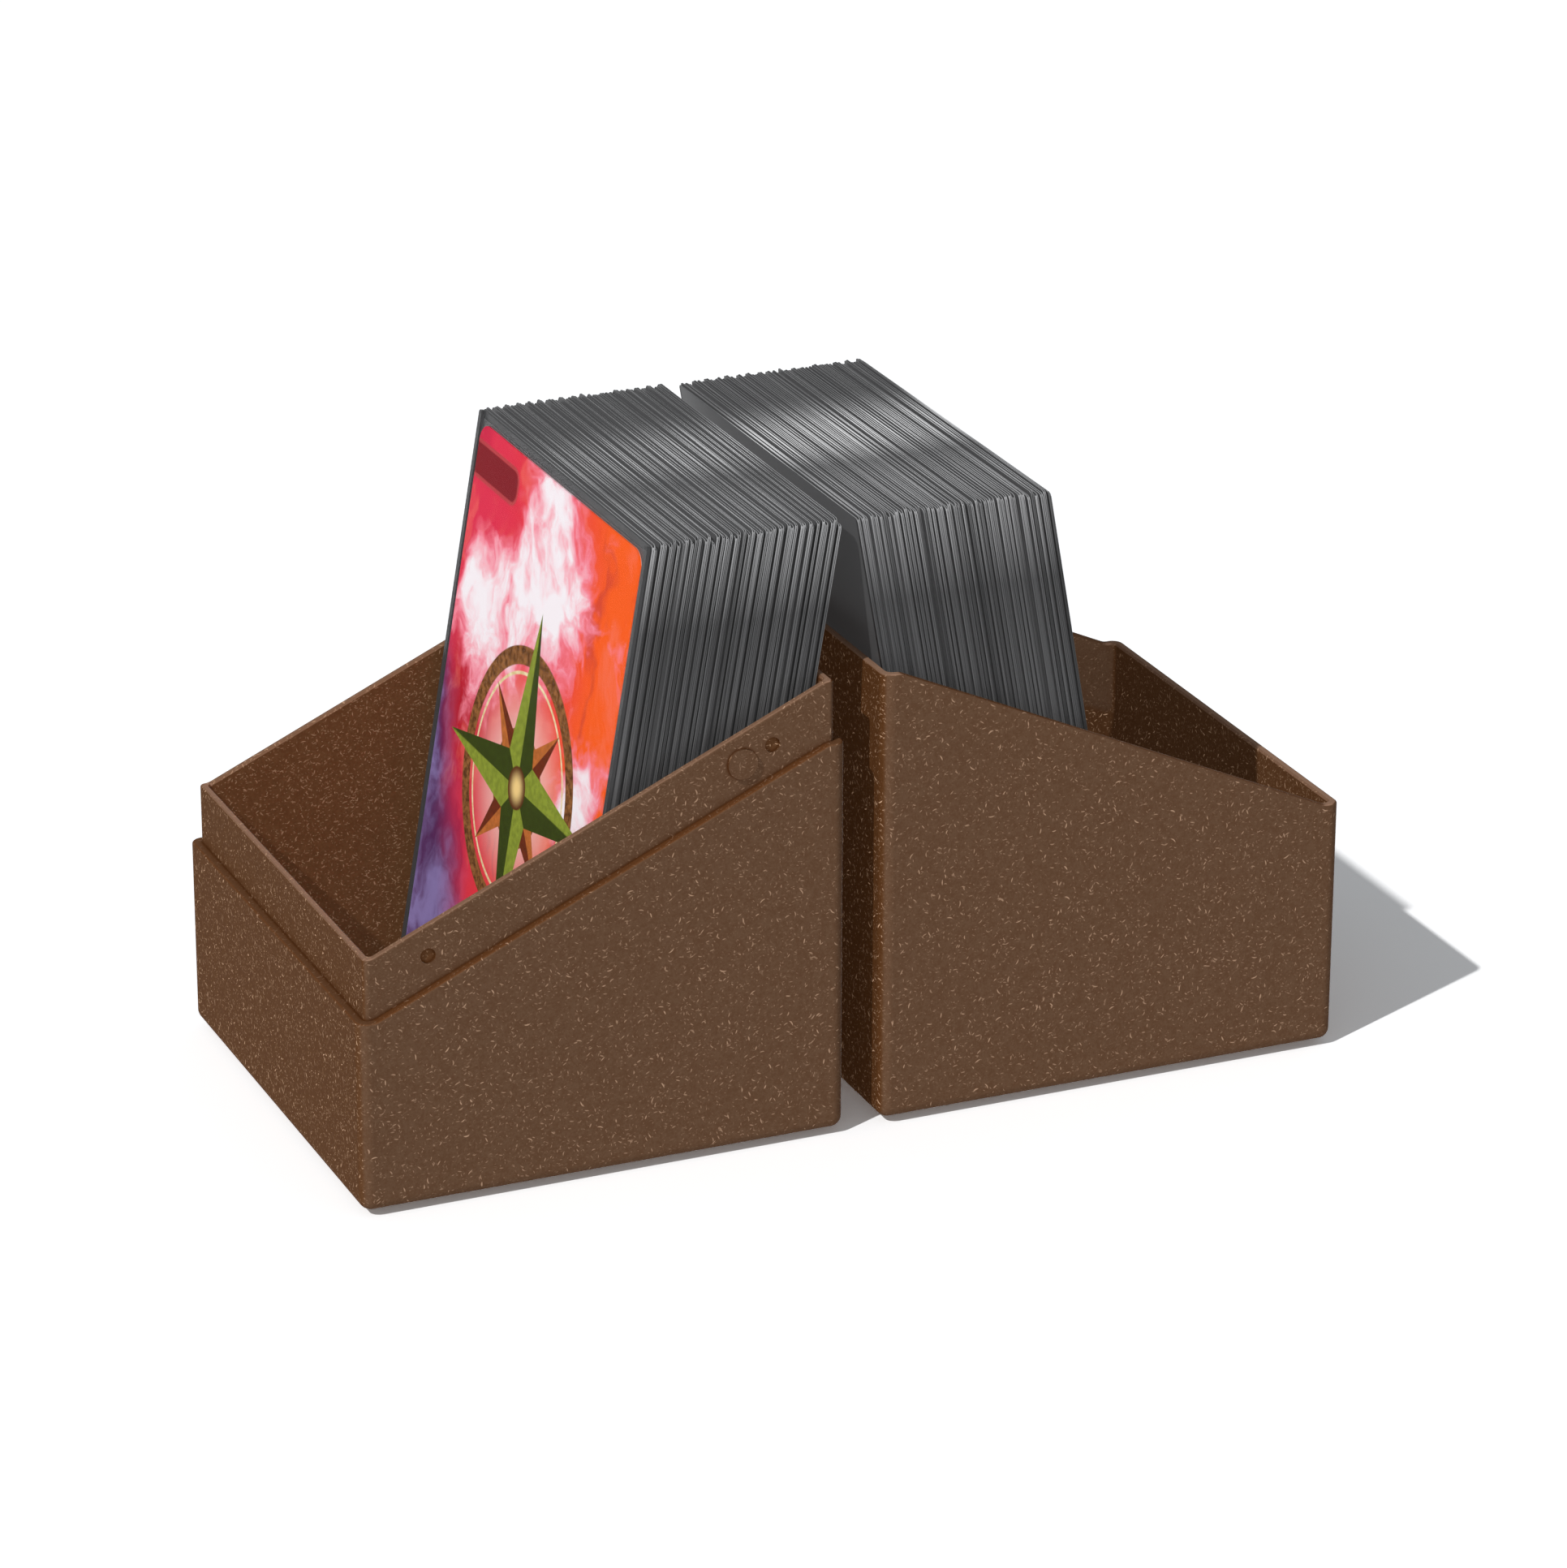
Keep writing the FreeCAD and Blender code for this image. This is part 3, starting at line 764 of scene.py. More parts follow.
    def creases(self, bench: Bench) -> Socket:
        """Finds the creases round discs, in dimples and below the lip, where shade is painted in.

        Args:
            bench: The material's bench.

        Returns:
            How much painted shade the place gets.
        """
        tight, wide = (
            bench.add("ShaderNodeAmbientOcclusion", {"Distance": reach}, samples=8).outputs["AO"]
            for reach in (self.crease, self.hollow)
        )
        tight = bench.ramp(tight, 0.93, 0.55, 0.0, 0.8)
        return bench.most(tight, bench.ramp(wide, 0.9, 0.5, 0.0, 0.3))

    def painted_bounce_places(self, bench: Bench, spot: WallSpot) -> tuple[Socket, Socket]:
        """Finds the insides and the end walls, where bounce light and shade are painted in as a
        warmer tint.

        Args:
            bench: The material's bench.
            spot: Where the surface is and which way it faces.

        Returns:
            1 on the walls with painted bounce light and shade, and 1 on the two end walls that
            face each other across the gap, which take painted shade.
        """
        off_middle = bench.size(spot.across)
        ends = bench.ramp(bench.size(spot.tilt), *self.end_on)
        gap_wall_shade = bench.times(bench.ramp(off_middle, *self.gap_reach), ends)
        across = bench.ramp(bench.apart(off_middle, self.middle), *self.inside_across)
        inside = bench.times(across, bench.ramp(spot.height, *self.inside_up))
        along = bench.ramp(bench.size(spot.along), *self.inside_along)
        return bench.most(bench.times(inside, along), ends), gap_wall_shade


@dataclass(frozen=True)
class SleeveFilm(Finish):
    """Matt black sleeve film: paler cut edges with a painted highlight towards the mouth, a
    painted sheen and glint on the mouths, and painted shade in the gaps between.
    """

    name: str = "sleeve_film"
    film: Colour = srgb(78, 78, 79)
    # Paler cut edges that also carry the painted highlight towards the mouth. The glint is a
    # painted highlight.
    pale_edge_and_highlight: Colour = srgb(180, 180, 181)
    glint: Colour = srgb(255, 255, 255)
    # Painted shade down the gaps between sleeves.
    gap: Colour = srgb(12, 12, 12)
    seam: float = 0.008
    half_across: float = 0.33
    height: float = 0.91
    # Where the painted sheen lies on the mouths.
    sheen_at: tuple[float, float] = (0.08, 0.022)
    sheen_reach: tuple[float, float] = (0.72, 0.185)
    # The painted highlight on the near part of the mouths.
    near_at: float = -0.23
    near_reach: float = 0.2
    near_level: float = 0.6
    glint_share: float = 0.46
    # How much painted gap shade reaches up to the mouths.
    mouth_gap: float = 0.15
    mouth_from: float = 0.775
    mouth_to: float = 0.905
    low_highlight: float = 0.05
    middle: float = 0.02
    lying: Span = (0.3, 0.8)
    roughness: float = 0.45
    specular: float = 0.3

    def surface(self, bench: Bench) -> dict[str, Feed]:
        """Lays out the film. UV holds the place across and up a sleeve, in tenths of a metre.

        Args:
            bench: The material's bench.

        Returns:
            The shader's inputs by name.
        """
        across, up, _ = bench.split(bench.add("ShaderNodeUVMap", uv_map="Sleeve").outputs[0])
        tone, kind = (
            bench.add("ShaderNodeAttribute", attribute_name=name).outputs["Fac"]
            for name in ("tone", "edge_light_or_gap_shade")
        )
        # The face's share of the paler cut edge and its painted highlight.
        cut = bench.most(kind, 0.0)
        # The painted highlight grows towards the mouth. On the tops it follows the painted near
        # band and the painted sheen.
        mouth = bench.ramp(up, self.mouth_from, self.mouth_to, self.low_highlight, 1.0, Ease.STRAIGHT)
        upward = bench.split(bench.add("ShaderNodeTexCoord").outputs["Normal"])[2]
        top = bench.ramp(upward, *self.lying)
        sheen = self.sheen(bench, across)
        away = bench.apart(across, self.near_at)
        level = bench.ramp(away, self.near_reach, self.middle, 0.0, self.near_level)
        level = bench.blend(top, 1.0, bench.most(level, sheen))
        edge_highlight = bench.times(bench.times(cut, mouth), level)
        colour = bench.mix(edge_highlight, self.film, self.pale_edge_and_highlight)
        # Painted glint where the sheen is strongest.
        share = bench.times(top, self.glint_share)
        colour = bench.mix(bench.times(bench.times(edge_highlight, sheen), share), colour, self.glint)
        colour = bench.mix(1.0, colour, bench.join(tone, tone, tone), mode="MULTIPLY")
        # Painted shade on the borders of the broad faces, down the gaps.
        colour = bench.mix(self.painted_gap_shade(bench, across, up, kind), colour, self.gap)
        return {
            "Base Color": colour,
            "Roughness": self.roughness,
            "Specular IOR Level": self.specular,
        }

    def sheen(self, bench: Bench, across: Feed) -> Socket:
        """Finds the painted sheen: a soft bright place on the mouths in the middle of both packs.

        Args:
            bench: The material's bench.
            across: Place across a sleeve.

        Returns:
            How strong the painted sheen is.
        """
        along = bench.split(bench.add("ShaderNodeTexCoord").outputs["Object"])[0]
        away = bench.apart(bench.times(along, UV_SCALE), self.sheen_at[0])
        aside = bench.apart(across, self.sheen_at[1])
        strength = bench.ramp(away, self.sheen_reach[0], self.middle)
        return bench.times(bench.ramp(aside, self.sheen_reach[1], self.middle), strength)

    def painted_gap_shade(self, bench: Bench, across: Feed, up: Feed, kind: Feed) -> Socket:
        """Finds the borders of the broad faces, which are only seen down the gaps between sleeves,
        where shade is painted.

        Args:
            bench: The material's bench.
            across: Place across a sleeve.
            up: Place up a sleeve.
            kind: What the face is: below 0 on broad faces, by how dark the painted shade in the
                gap beside it is.

        Returns:
            How much painted shade the place gets.
        """
        flat = bench.most(bench.times(kind, -1.0), 0.0)
        from_side = bench.minus(self.half_across, bench.size(across))
        from_mouth = bench.minus(self.height, up)
        seam = (self.seam, 0.4 * self.seam)
        mouth = bench.ramp(from_mouth, *seam, 0.0, self.mouth_gap)
        return bench.times(flat, bench.most(bench.ramp(from_side, *seam), mouth))


@dataclass(frozen=True)
class PlainFilm(Finish):
    """Sleeve film with no layers to tell apart: one colour, a gloss and how clear it is."""

    name: str
    colour: Colour
    roughness: float
    alpha: float = 1.0
    specular: float = 0.2

    def surface(self, bench: Bench) -> dict[str, Feed]:
        """Lays out the film with a faint haze.

        Args:
            bench: The material's bench.

        Returns:
            The shader's inputs by name.
        """
        place = bench.add("ShaderNodeTexCoord").outputs["Object"]
        haze = bench.noise(place, 90.0, 3.0)
        rough = bench.ramp(haze, 0.3, 0.7, self.roughness * 0.85, self.roughness * 1.15)
        darker = tuple(level * 0.9 for level in self.colour)
        colour = bench.mix(bench.ramp(haze, 0.3, 0.7), darker, self.colour)
        return {
            "Base Color": colour,
            "Roughness": rough,
            "Alpha": self.alpha,
            "Specular IOR Level": self.specular,
        }


@dataclass(frozen=True)
class CardPrint(Finish):
    """A printed card: a glowing sky, a compass star on it and a bare title plate."""

    name: str = "card_print"
    foot: Triple = BASE_FOOT
    lean: float = BASE_LEAN
    card_foot: float = 1.5
    card_height: float = 88.0
    back: float = 0.44
    stock: Colour = srgb(226, 224, 218)
    star_at: Triple = (1.0, 42.0, 0.0)
    plate_right: float = -14.5
    plate_low: float = 79.8
    plate_high: float = 85.4
    plate_corner: float = 2.2

    def surface(self, bench: Bench) -> dict[str, Feed]:
        """Lays out the print in millimetres across the card and up from its foot.

        Args:
            bench: The material's bench.

        Returns:
            The shader's inputs by name.
        """
        place = bench.add("ShaderNodeTexCoord").outputs["Object"]
        stood = bench.add(
            "ShaderNodeMapping",
            {"Vector": place, "Location": self.foot, "Rotation": (0.0, self.lean, 0.0)},
            vector_type="TEXTURE",
        ).outputs[0]
        depth, right, height = bench.split(stood)
        across = bench.times(right, -1 / MM)
        up = bench.minus(bench.times(height, 1 / MM), self.card_foot)
        flat = bench.join(across, up)
        sky = bench.group(cloudy_sky(), {"Vector": bench.scaled(flat, 1 / self.card_height)})
        colour = self.star(bench, flat, sky.outputs["Color"])
        colour = self.plate(bench, across, up, colour)
        printed = bench.sum("LESS_THAN", bench.times(depth, 1 / MM), self.back)
        colour = bench.mix(printed, self.stock, colour)
        return {"Base Color": colour, "Roughness": 0.5, "Specular IOR Level": 0.0}

    def star(self, bench: Bench, flat: Feed, under: Feed) -> Socket:
        """Prints the compass star and its rings.

        Args:
            bench: The material's bench.
            flat: Place on the card in millimetres.
            under: What is printed so far.

        Returns:
            The colour with the star on it.
        """
        spot = bench.vector("SUBTRACT", flat, self.star_at)
        reach = bench.vector("LENGTH", spot, out=1)
        grain = bench.noise(flat, 0.9, 5.0, 0.65)
        # Radius, half width, dark and light colour of each ring.
        rings = (
            (19.5, 1.5, srgb(92, 56, 30), srgb(158, 104, 58)),
            (16.9, 0.35, srgb(226, 196, 140), srgb(250, 232, 190)),
            (8.2, 0.8, srgb(104, 62, 32), srgb(170, 112, 62)),
        )
        colour = under
        halo = bench.ramp(reach, 19.0, 6.0, 0.0, 0.55)
        colour = bench.mix(halo, colour, srgb(255, 238, 226))
        for radius, half_width, dark, light in rings:
            off = bench.apart(reach, radius)
            paint = bench.mix(bench.ramp(grain, 0.35, 0.65), dark, light)
            colour = bench.mix(bench.ramp(off, half_width, half_width - 0.2), colour, paint)
        # Arms, tip, valley, turn, dark and light colour of each star.
        stars = (
            (4.0, 17.5, 5.0, math.pi / 4, srgb(120, 50, 28), srgb(206, 116, 56)),
            (4.0, 27.0, 6.5, 0.0, srgb(62, 74, 24), srgb(150, 164, 58)),
        )
        for arms, tip, valley, turn, dark, light in stars:
            feeds = {"Vector": spot, "Arms": arms, "Tip": tip, "Valley": valley, "Turn": turn}
            star = bench.group(printed_star(), feeds)
            paint = bench.mix(star.outputs["Facet"], dark, light)
            paint = bench.mix(bench.ramp(grain, 0.3, 0.7, 0.0, 0.35), paint, srgb(44, 40, 20))
            colour = bench.mix(star.outputs["Mask"], colour, paint)
        hub = bench.mix(bench.ramp(reach, 3.2, 0.5), srgb(96, 54, 28), srgb(250, 214, 140))
        return bench.mix(bench.ramp(reach, 3.4, 3.1), colour, hub)

    def plate(self, bench: Bench, across: Feed, up: Feed, under: Feed) -> Socket:
        """Prints the bare title plate with its round right-hand end.

        Args:
            bench: The material's bench.
            across: Millimetres across the card.
            up: Millimetres above its foot.
            under: What is printed so far.

        Returns:
            The colour with the plate on it.
        """
        middle = (self.plate_low + self.plate_high) / 2
        half = (self.plate_high - self.plate_low) / 2
        corner = self.plate_corner
        beside = bench.minus(across, self.plate_right - corner)
        beyond = bench.most(beside, 0.0)
        above = bench.minus(bench.apart(up, middle), half - corner)
        above = bench.most(above, 0.0)
        off = bench.vector("LENGTH", bench.join(beyond, above), out=1)
        rim = bench.ramp(off, corner + 0.25, corner)
        inner = bench.ramp(off, corner - 0.35, corner - 0.55)
        colour = bench.mix(bench.times(rim, 0.9), under, srgb(186, 70, 72))
        return bench.mix(bench.times(inner, 0.95), colour, srgb(132, 30, 38))


@dataclass(frozen=True)
class WhiteFloor(Finish):
    """The studio's plain floor: white to the camera, greyer to the light that bounces off it."""

    shader: ClassVar[str] = "ShaderNodeBsdfDiffuse"
    name: str = "white_floor"
    seen: float = 1.42
    bounced: float = 0.5

    def surface(self, bench: Bench) -> dict[str, Feed]:
        """Lays out the floor, by what kind of ray looks at it.

        Args:
            bench: The material's bench.

        Returns:
            The shader's inputs by name.
        """
        level = bench.blend(in_sight(bench), self.bounced, self.seen)
        return {"Color": bench.join(level, level, level)}


# --- pieces ----------------------------------------------------------------------------------


def new_piece(
    name: str, mesh: bmesh.types.BMesh, finishes: list[bpy.types.Material]
) -> bpy.types.Object:
    """Turns a finished bmesh into a piece at the origin.

    Args:
        name: The piece's name.
        mesh: Its bmesh, which is freed.
        finishes: Its materials, in slot order.

    Returns:
        The piece.
    """
    data = bpy.data.meshes.new(name)
    mesh.to_mesh(data)
    mesh.free()
    for finish in finishes:
        data.materials.append(finish)
    piece = bpy.data.objects.new(name, data)
    bpy.context.scene.collection.objects.link(piece)
    LOG.info("made %s with %d faces", name, len(data.polygons))
    return piece


def add_sheet(mesh: bmesh.types.BMesh, low: Vector, high: Vector) -> list[bmesh.types.BMVert]:
    """Adds a flat sheet that stands across X.

    Args:
        mesh: The bmesh it goes into.
        low: Its lowest corner.
        high: Its highest corner.

    Returns:
        The sheet's vertices.
    """
    place = Matrix.Translation((low + high) / 2) @ Matrix.Diagonal((*(high - low), 1.0))
    return bmesh.ops.create_cube(mesh, size=1.0, matrix=place)["verts"]


def round_corners(
    mesh: bmesh.types.BMesh, sheet: list[bmesh.types.BMVert], corner: float
) -> None:
    """Rounds a sheet's corners in its own plane.

    Args:
        mesh: The bmesh that holds it.
        sheet: The sheet's vertices, which the rounding replaces.
        corner: How far the corners are cut round.
    """
    edges = dict.fromkeys(edge for vert in sheet for edge in vert.link_edges)
    through = [edge for edge in edges if abs(edge.verts[0].co.x - edge.verts[1].co.x) > HAIR]
    bmesh.ops.bevel(
        mesh, geom=through, offset=corner, segments=2, affect="EDGES", profile=0.5, material=-1
    )


@dataclass
class MouldedHalves:
    """The moulded base and cover, whose shapes come whole from the frame."""

    nodes: tuple[str, ...] = ("base_tray", "cover_shell")
    finish: FibreComposite = field(default_factory=FibreComposite)

    def dress(self, frame: dict[str, Any]) -> None:
        """Gives both halves their finish.

        Args:
            frame: The loaded frame.
        """
        material = self.finish.make()
        for node in self.nodes:
            dress_node(frame, node, material)


@dataclass(frozen=True)
class SleevedCard:
    """Sizes, in metres, and tones of one sleeved card, with its shares of the painted highlight
    and the painted shade.
    """

    across: float = 66 * MM
    height: float = 91 * MM
    thick: float = 0.64 * MM
    film: float = 0.12 * MM
    inset: float = 0.10 * MM
    play: float = 0.035 * MM
    core_gap: float = 0.01 * MM
    core_across: float = 65.9 * MM
    core_drop: float = 0.2 * MM
    core_span: Span = (0.36, 0.64)
    groove_from: float = 62 * MM
    groove: float = 0.08 * MM
    corner: float = 0.6 * MM
    uneven: float = 0.35 * MM
    low_share: float = 0.08
    low_by: float = 0.6 * MM
    # Each layer's share of the painted edge highlight: near film, core, far film. The core takes
    # little, which paints shade between the films.
    highlight_shares: Triple = (1.0, 0.1, 0.9)
    side_highlight_shares: Triple = (0.88, 0.88, 0.8)
    side_tone: float = 0.85
    # Tops are multiplied lighter as painted light.
    top_light: float = 1.7
    side_spread: float = 0.1
    layer_spread: float = 0.3
    card_tones: Span = (0.96, 1.06)
    film_tones: Span = (0.92, 1.08)
    # How dark the painted shade in the gap beside a card is: the darkest for a share of cards, the
    # rest between the dusky bounds.
    dark_share: float = 0.5
    dark: float = 0.97
    dusky: Span = (0.3, 0.65)
    dim_share: float = 0.14
    dim: float = 0.5

    def add(self, mesh: bmesh.types.BMesh, chance: random.Random, place: Matrix) -> None:
        """Adds a card: two films and, between them, the card in its inner sleeve.

        Args:
            mesh: The bmesh it goes into, with its tone, edge and UV layers.
            chance: Where its unevenness comes from.
            place: Where it stands.
        """
        start = len(mesh.faces)
        half = self.across / 2
        sunk = self.low_by if chance.random() < self.low_share else 0.0
        mouths = [self.height - sunk - self.uneven * chance.random() ** 2 for _ in range(2)]
        near = self.inset + chance.uniform(-self.play, self.play)
        far = self.thick - self.inset + chance.uniform(-self.play, self.play)
        for outside, mouth in zip((near, far - self.film), mouths):
            low, high = Vector((outside, -half, 0)), Vector((outside + self.film, half, mouth))
            round_corners(mesh, add_sheet(mesh, low, high), self.corner)
        inside = self.film + self.core_gap
        half = self.core_across / 2
        low = Vector((near + inside, -half, self.corner))
        high = Vector((far - inside, half, min(mouths) - self.core_drop))
        self.groove_sides(mesh, add_sheet(mesh, low, high))
        self.paint(mesh, start, chance)
        verts = dict.fromkeys(vert for face in list(mesh.faces)[start:] for vert in face.verts)
        bmesh.ops.transform(mesh, matrix=place, verts=list(verts))

    def groove_sides(self, mesh: bmesh.types.BMesh, core: list[bmesh.types.BMVert]) -> None:
        """Draws the core in between the films towards the mouth.

        Args:
            mesh: The bmesh that holds it.
            core: The core's vertices.
        """
        edges = dict.fromkeys(edge for vert in core for edge in vert.link_edges)
        faces = dict.fromkeys(face for vert in core for face in vert.link_faces)
        cut_at = (0, 0, self.groove_from)
        geometry = [*core, *edges, *faces]
        bmesh.ops.bisect_plane(mesh, geom=geometry, plane_co=cut_at, plane_no=(0, 0, 1))
        for vert in core:
            if vert.co.z > self.groove_from:
                vert.co.y -= math.copysign(self.groove, vert.co.y)

    def paint(self, mesh: bmesh.types.BMesh, start: int, chance: random.Random) -> None:
        """Stores each face's tone, with the painted light on the tops; its share of the paler cut
        edge and painted highlight, or the painted shade in the gap beside it; and its place on the
        sleeve.

        The faces are taken from the near one to the far one, so that each run gives the same.

        Args:
            mesh: The bmesh.
            start: The card's first face.
            chance: Where the tones come from.
        """
        tones = mesh.faces.layers.float["tone"]
        light_and_shade = mesh.faces.layers.float["edge_light_or_gap_shade"]
        places = mesh.loops.layers.uv["Sleeve"]
        mesh.faces.ensure_lookup_table()
        mesh.normal_update()
        card_tone = chance.uniform(*self.card_tones)
        dim = chance.random() < self.dim_share
        # The painted shade in the gap beside this card.
        dark = self.dark if chance.random() < self.dark_share else chance.uniform(*self.dusky)
        side = self.side_tone * (1 + chance.uniform(-self.side_spread, self.side_spread))
        side *= self.dim if dim else 1.0
        spread = self.layer_spread
        side_tones = [side * (1 + chance.uniform(-spread, spread)) for _ in range(3)]
        layer_tones: dict[int, float] = {}
        faces = mesh.faces[start:]
        for face in sorted(faces, key=lambda face: face.calc_center_median().x):
            depth = face.calc_center_median().x / self.thick
            layer = sum(depth > bound for bound in self.core_span)
            tone = layer_tones.setdefault(layer, card_tone * chance.uniform(*self.film_tones))
            aside = abs(face.normal.y) > FACING
            # Tops take the painted light.
            mouth = self.top_light if face.normal.z > FACING else 1.0
            face[tones] = tone * (side_tones[layer] if aside else mouth)
            highlight_shares = self.side_highlight_shares if aside else self.highlight_shares
            # Broad faces store the painted gap shade as a negative number, the rest their share of
            # the painted edge highlight.
            face[light_and_shade] = -dark if abs(face.normal.x) > FACING else highlight_shares[layer]
            for loop in face.loops:
                loop[places].uv = UV_SCALE * loop.vert.co.yz


@dataclass
class SleevedPack:
    """One pack of sleeved cards: bundles of cards that lean on a rim."""

    half: Half
    foot: Triple
    lean: float
    spare: float
    first_number: int = 0
    count: int = 45
    bundle: int = 5
    rise: float = 0.4 * MM
    rise_turn: float = 2.4
    stray: float = 0.25 * MM
    stray_turn: float = 3.7
    skew: float = 0.12
    card: SleevedCard = field(default_factory=SleevedCard)

    def place(self, number: int, chance: random.Random) -> Matrix:
        """Where a card stands.

        Args:
            number: The card's number in its pack.
            chance: Where its small skew comes from.

        Returns:
            The card's place.
        """
        lift = self.rise * (0.5 + 0.5 * math.sin(self.rise_turn * number))
        aside = self.stray * math.sin(self.stray_turn * number)
        pitch = (self.card.thick + self.spare) / math.cos(self.lean)
        across, along, height = self.foot
        foot = Matrix.Translation((across + number * pitch, along, height))
        lean = Matrix.Rotation(self.lean, 4, "Y")
        skew = Matrix.Rotation(math.radians(chance.uniform(-self.skew, self.skew)), 4, "X")
        return foot @ lean @ Matrix.Translation((0, aside, lift)) @ skew

    def build(self, frame: dict[str, Any], film: bpy.types.Material) -> None:
        """Builds every bundle of the pack in place of its node.

        Args:
            frame: The loaded frame.
            film: The sleeves' finish.
        """
        numbers = range(self.first_number, self.count)
        bodies = frame["record"]["behaviour"]["bodies"]
        for index, start in enumerate(range(0, len(numbers), self.bundle), start=1):
            node = f"{self.half.value}_cards_{index:02d}"
            chance = random.Random(node)
            mesh = bmesh.new()
            mesh.faces.layers.float.new("tone")
            mesh.faces.layers.float.new("edge_light_or_gap_shade")
            mesh.loops.layers.uv.new("Sleeve")
            for number in numbers[start : start + self.bundle]:
                self.card.add(mesh, chance, self.place(number, chance))
            piece = new_piece(f"sleeved_{node}", mesh, [film])
            body = next(name for name, members in bodies.items() if node in members)
            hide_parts(node)
            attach(piece, body)


@dataclass
class FrontCard:
    """The printed card at the front, in its clear-faced sleeves."""

    body: str = "front_sleeved_card"
    foot: Triple = BASE_FOOT
    lean: float = BASE_LEAN
    inner_across: float = 64 * MM
    inner_foot: float = 1.0 * MM
    inner_top: float = 90 * MM
    inner_from: float = 0.11 * MM
    inner_to: float = 0.53 * MM
    inner_film: float = 0.05 * MM

    def dress(self, frame: dict[str, Any]) -> None:
        """Gives the card and its outer sleeve their finishes, and builds the inner sleeve.

        Args:
            frame: The loaded frame.
        """
        black = PlainFilm("black_film", srgb(62, 62, 63), 0.4)
        clear = PlainFilm("clear_film", srgb(96, 97, 99), 0.2, alpha=0.012, specular=0.5)
        hazy = PlainFilm("hazy_film", srgb(70, 70, 71), 0.3)
        finishes = {
            "front_card": CardPrint().make(),
            "front_sleeve_back": black.make(),
            "front_sleeve_face": clear.make(),
        }
        for node, finish in finishes.items():
            dress_node(frame, node, finish)
        self.build_inner_sleeve(hazy.make(), finishes["front_sleeve_face"])

    def build_inner_sleeve(self, hazy: bpy.types.Material, clear: bpy.types.Material) -> None:
        """Builds the inner sleeve: a hazy back film and a clear front one.

        Args:
            hazy: Finish of the back film.
            clear: Finish of the front film.
        """
        half = self.inner_across / 2
        mesh = bmesh.new()
        for near in (self.inner_to - self.inner_film, self.inner_from):
            low = Vector((near, -half, self.inner_foot))
            add_sheet(mesh, low, Vector((near + self.inner_film, half, self.inner_top)))
        front = self.inner_from + 1.5 * self.inner_film
        for face in mesh.faces:
            face.material_index = 1 if face.calc_center_median().x < front else 0
        place = Matrix.Translation(self.foot) @ Matrix.Rotation(self.lean, 4, "Y")
        bmesh.ops.transform(mesh, matrix=place, verts=mesh.verts)
        piece = new_piece("inner_sleeve", mesh, [hazy, clear])
        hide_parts("front_inner_sleeve")
        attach(piece, self.body)


# --- the studio ------------------------------------------------------------------------------


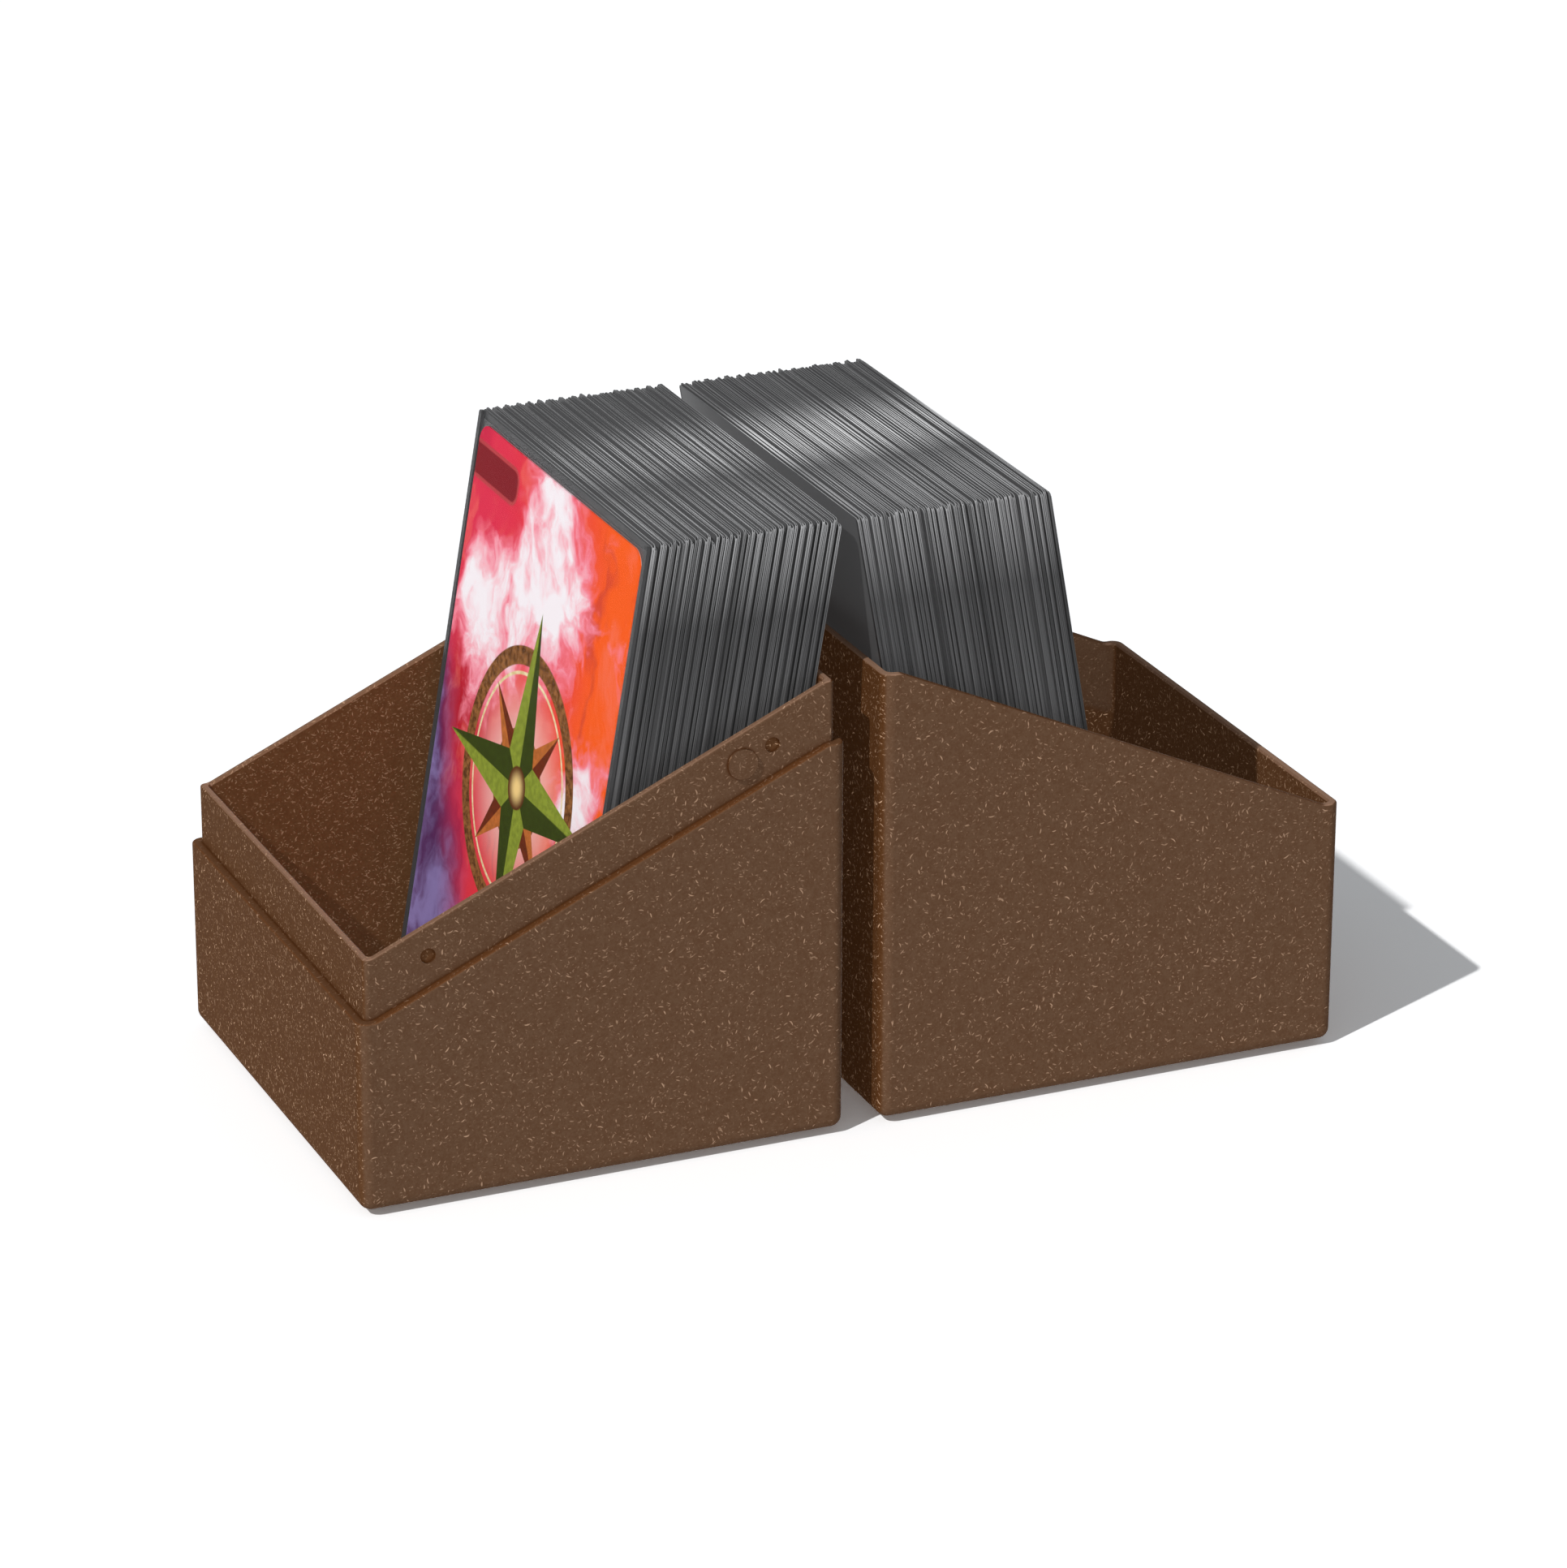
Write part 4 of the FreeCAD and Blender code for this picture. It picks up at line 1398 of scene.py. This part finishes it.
@dataclass
class Studio:
    """Camera, floor, lamps and surroundings."""

    camera_at: Triple = (-0.34257, -0.80060, 0.39021)
    yaw: float = 0.4080
    pitch: float = 0.3827
    roll: float = 0.0025
    sensor: float = 36.0
    focal: float = 145.01
    floor_reach: float = 6.0
    floor_drop: float = 0.0010
    sun_travel: Triple = (33.0, 15.0, -37.0)
    sun_strength: float = 2.1
    sun_angle: float = math.radians(0.9)
    fill_travel: Triple = (0.46, 0.88, -0.04)
    fill_strength: float = 1.95
    fill_angle: float = math.radians(60)
    back_travel: Triple = (-0.5, -0.75, 0.42)
    back_strength: float = 1.5
    back_angle: float = math.radians(40)
    ambient: float = 0.2
    sky_tint: Colour = (0.9, 0.95, 1.0)
    floor: WhiteFloor = field(default_factory=WhiteFloor)

    def set_camera(self) -> None:
        """Sets the camera up."""
        level = math.cos(self.pitch)
        ahead = (math.sin(self.yaw) * level, math.cos(self.yaw) * level, -math.sin(self.pitch))
        forward = Vector(ahead)
        right = Vector((math.cos(self.yaw), -math.sin(self.yaw), 0.0))
        up = right.cross(forward)
        side = math.cos(self.roll) * right + math.sin(self.roll) * up
        top = -math.sin(self.roll) * right + math.cos(self.roll) * up
        data = bpy.data.cameras.new("camera")
        data.sensor_fit = "HORIZONTAL"
        data.sensor_width = self.sensor
        data.lens = self.focal
        camera = bpy.data.objects.new("camera", data)
        turn = Matrix((side, top, -forward)).transposed().to_4x4()
        camera.matrix_world = Matrix.Translation(self.camera_at) @ turn
        bpy.context.scene.collection.objects.link(camera)
        bpy.context.scene.camera = camera

    def add_sun(
        self,
        name: str,
        travel: Triple,
        strength: float,
        angle: float,
        shadows: bool = True,
    ) -> None:
        """Adds a distant lamp.

        Args:
            name: Its name.
            travel: The direction in which its light travels.
            strength: How strong it is.
            angle: How wide it looks, in radians.
            shadows: Whether things stand in its way.
        """
        data = bpy.data.lights.new(name, "SUN")
        data.energy = strength
        data.angle = angle
        data.use_shadow = shadows
        lamp = bpy.data.objects.new(name, data)
        lamp.rotation_euler = Vector(travel).to_track_quat("-Z", "Y").to_euler()
        bpy.context.scene.collection.objects.link(lamp)

    def build(self) -> None:
        """Builds the whole studio."""
        self.set_camera()
        mesh = bmesh.new()
        bmesh.ops.create_grid(mesh, x_segments=1, y_segments=1, size=self.floor_reach)
        bmesh.ops.translate(mesh, verts=mesh.verts, vec=(0, 0, -self.floor_drop))
        new_piece("floor", mesh, [self.floor.make()])
        self.add_sun("key", self.sun_travel, self.sun_strength, self.sun_angle)
        self.add_sun("fill", self.fill_travel, self.fill_strength, self.fill_angle, shadows=False)
        self.add_sun("back", self.back_travel, self.back_strength, self.back_angle, shadows=False)
        self.set_surroundings()
        bpy.context.scene.view_settings.view_transform = "Standard"

    def set_surroundings(self) -> None:
        """White surroundings for the camera and reflections, and a plain level of light."""
        world = bpy.data.worlds.new("surroundings")
        world.use_nodes = True
        bpy.context.scene.world = world
        bench = Bench(world.node_tree)
        seen = in_sight(bench)
        strength = bench.blend(seen, self.ambient, 1.0)
        colour = bench.mix(seen, self.sky_tint, (1.0, 1.0, 1.0))
        sky = bench.add("ShaderNodeBackground", {"Color": colour, "Strength": strength})
        bench.add("ShaderNodeOutputWorld", {"Surface": sky.outputs[0]})


def main() -> None:
    """Builds the studio, dresses the box and stands the cards in it."""
    logging.basicConfig(level=logging.INFO, format="%(message)s")
    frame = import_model()
    Studio().build()
    MouldedHalves().dress(frame)
    FrontCard().dress(frame)
    film = SleeveFilm().make()
    base = SleevedPack(Half.BASE, BASE_FOOT, BASE_LEAN, spare=0.014 * MM, first_number=1)
    base.build(frame, film)
    # The cover's cards are the same sleeves, with more painted shade on their sides and less
    # painted light on their tops.
    shaded = SleevedCard(side_tone=0.77, top_light=1.27, highlight_shares=(1.0, 0.2, 0.9))
    cover = SleevedPack(Half.COVER, COVER_FOOT, -COVER_LEAN, spare=0.027 * MM, card=shaded)
    cover.build(frame, film)


if __name__ == "__main__":
    main()
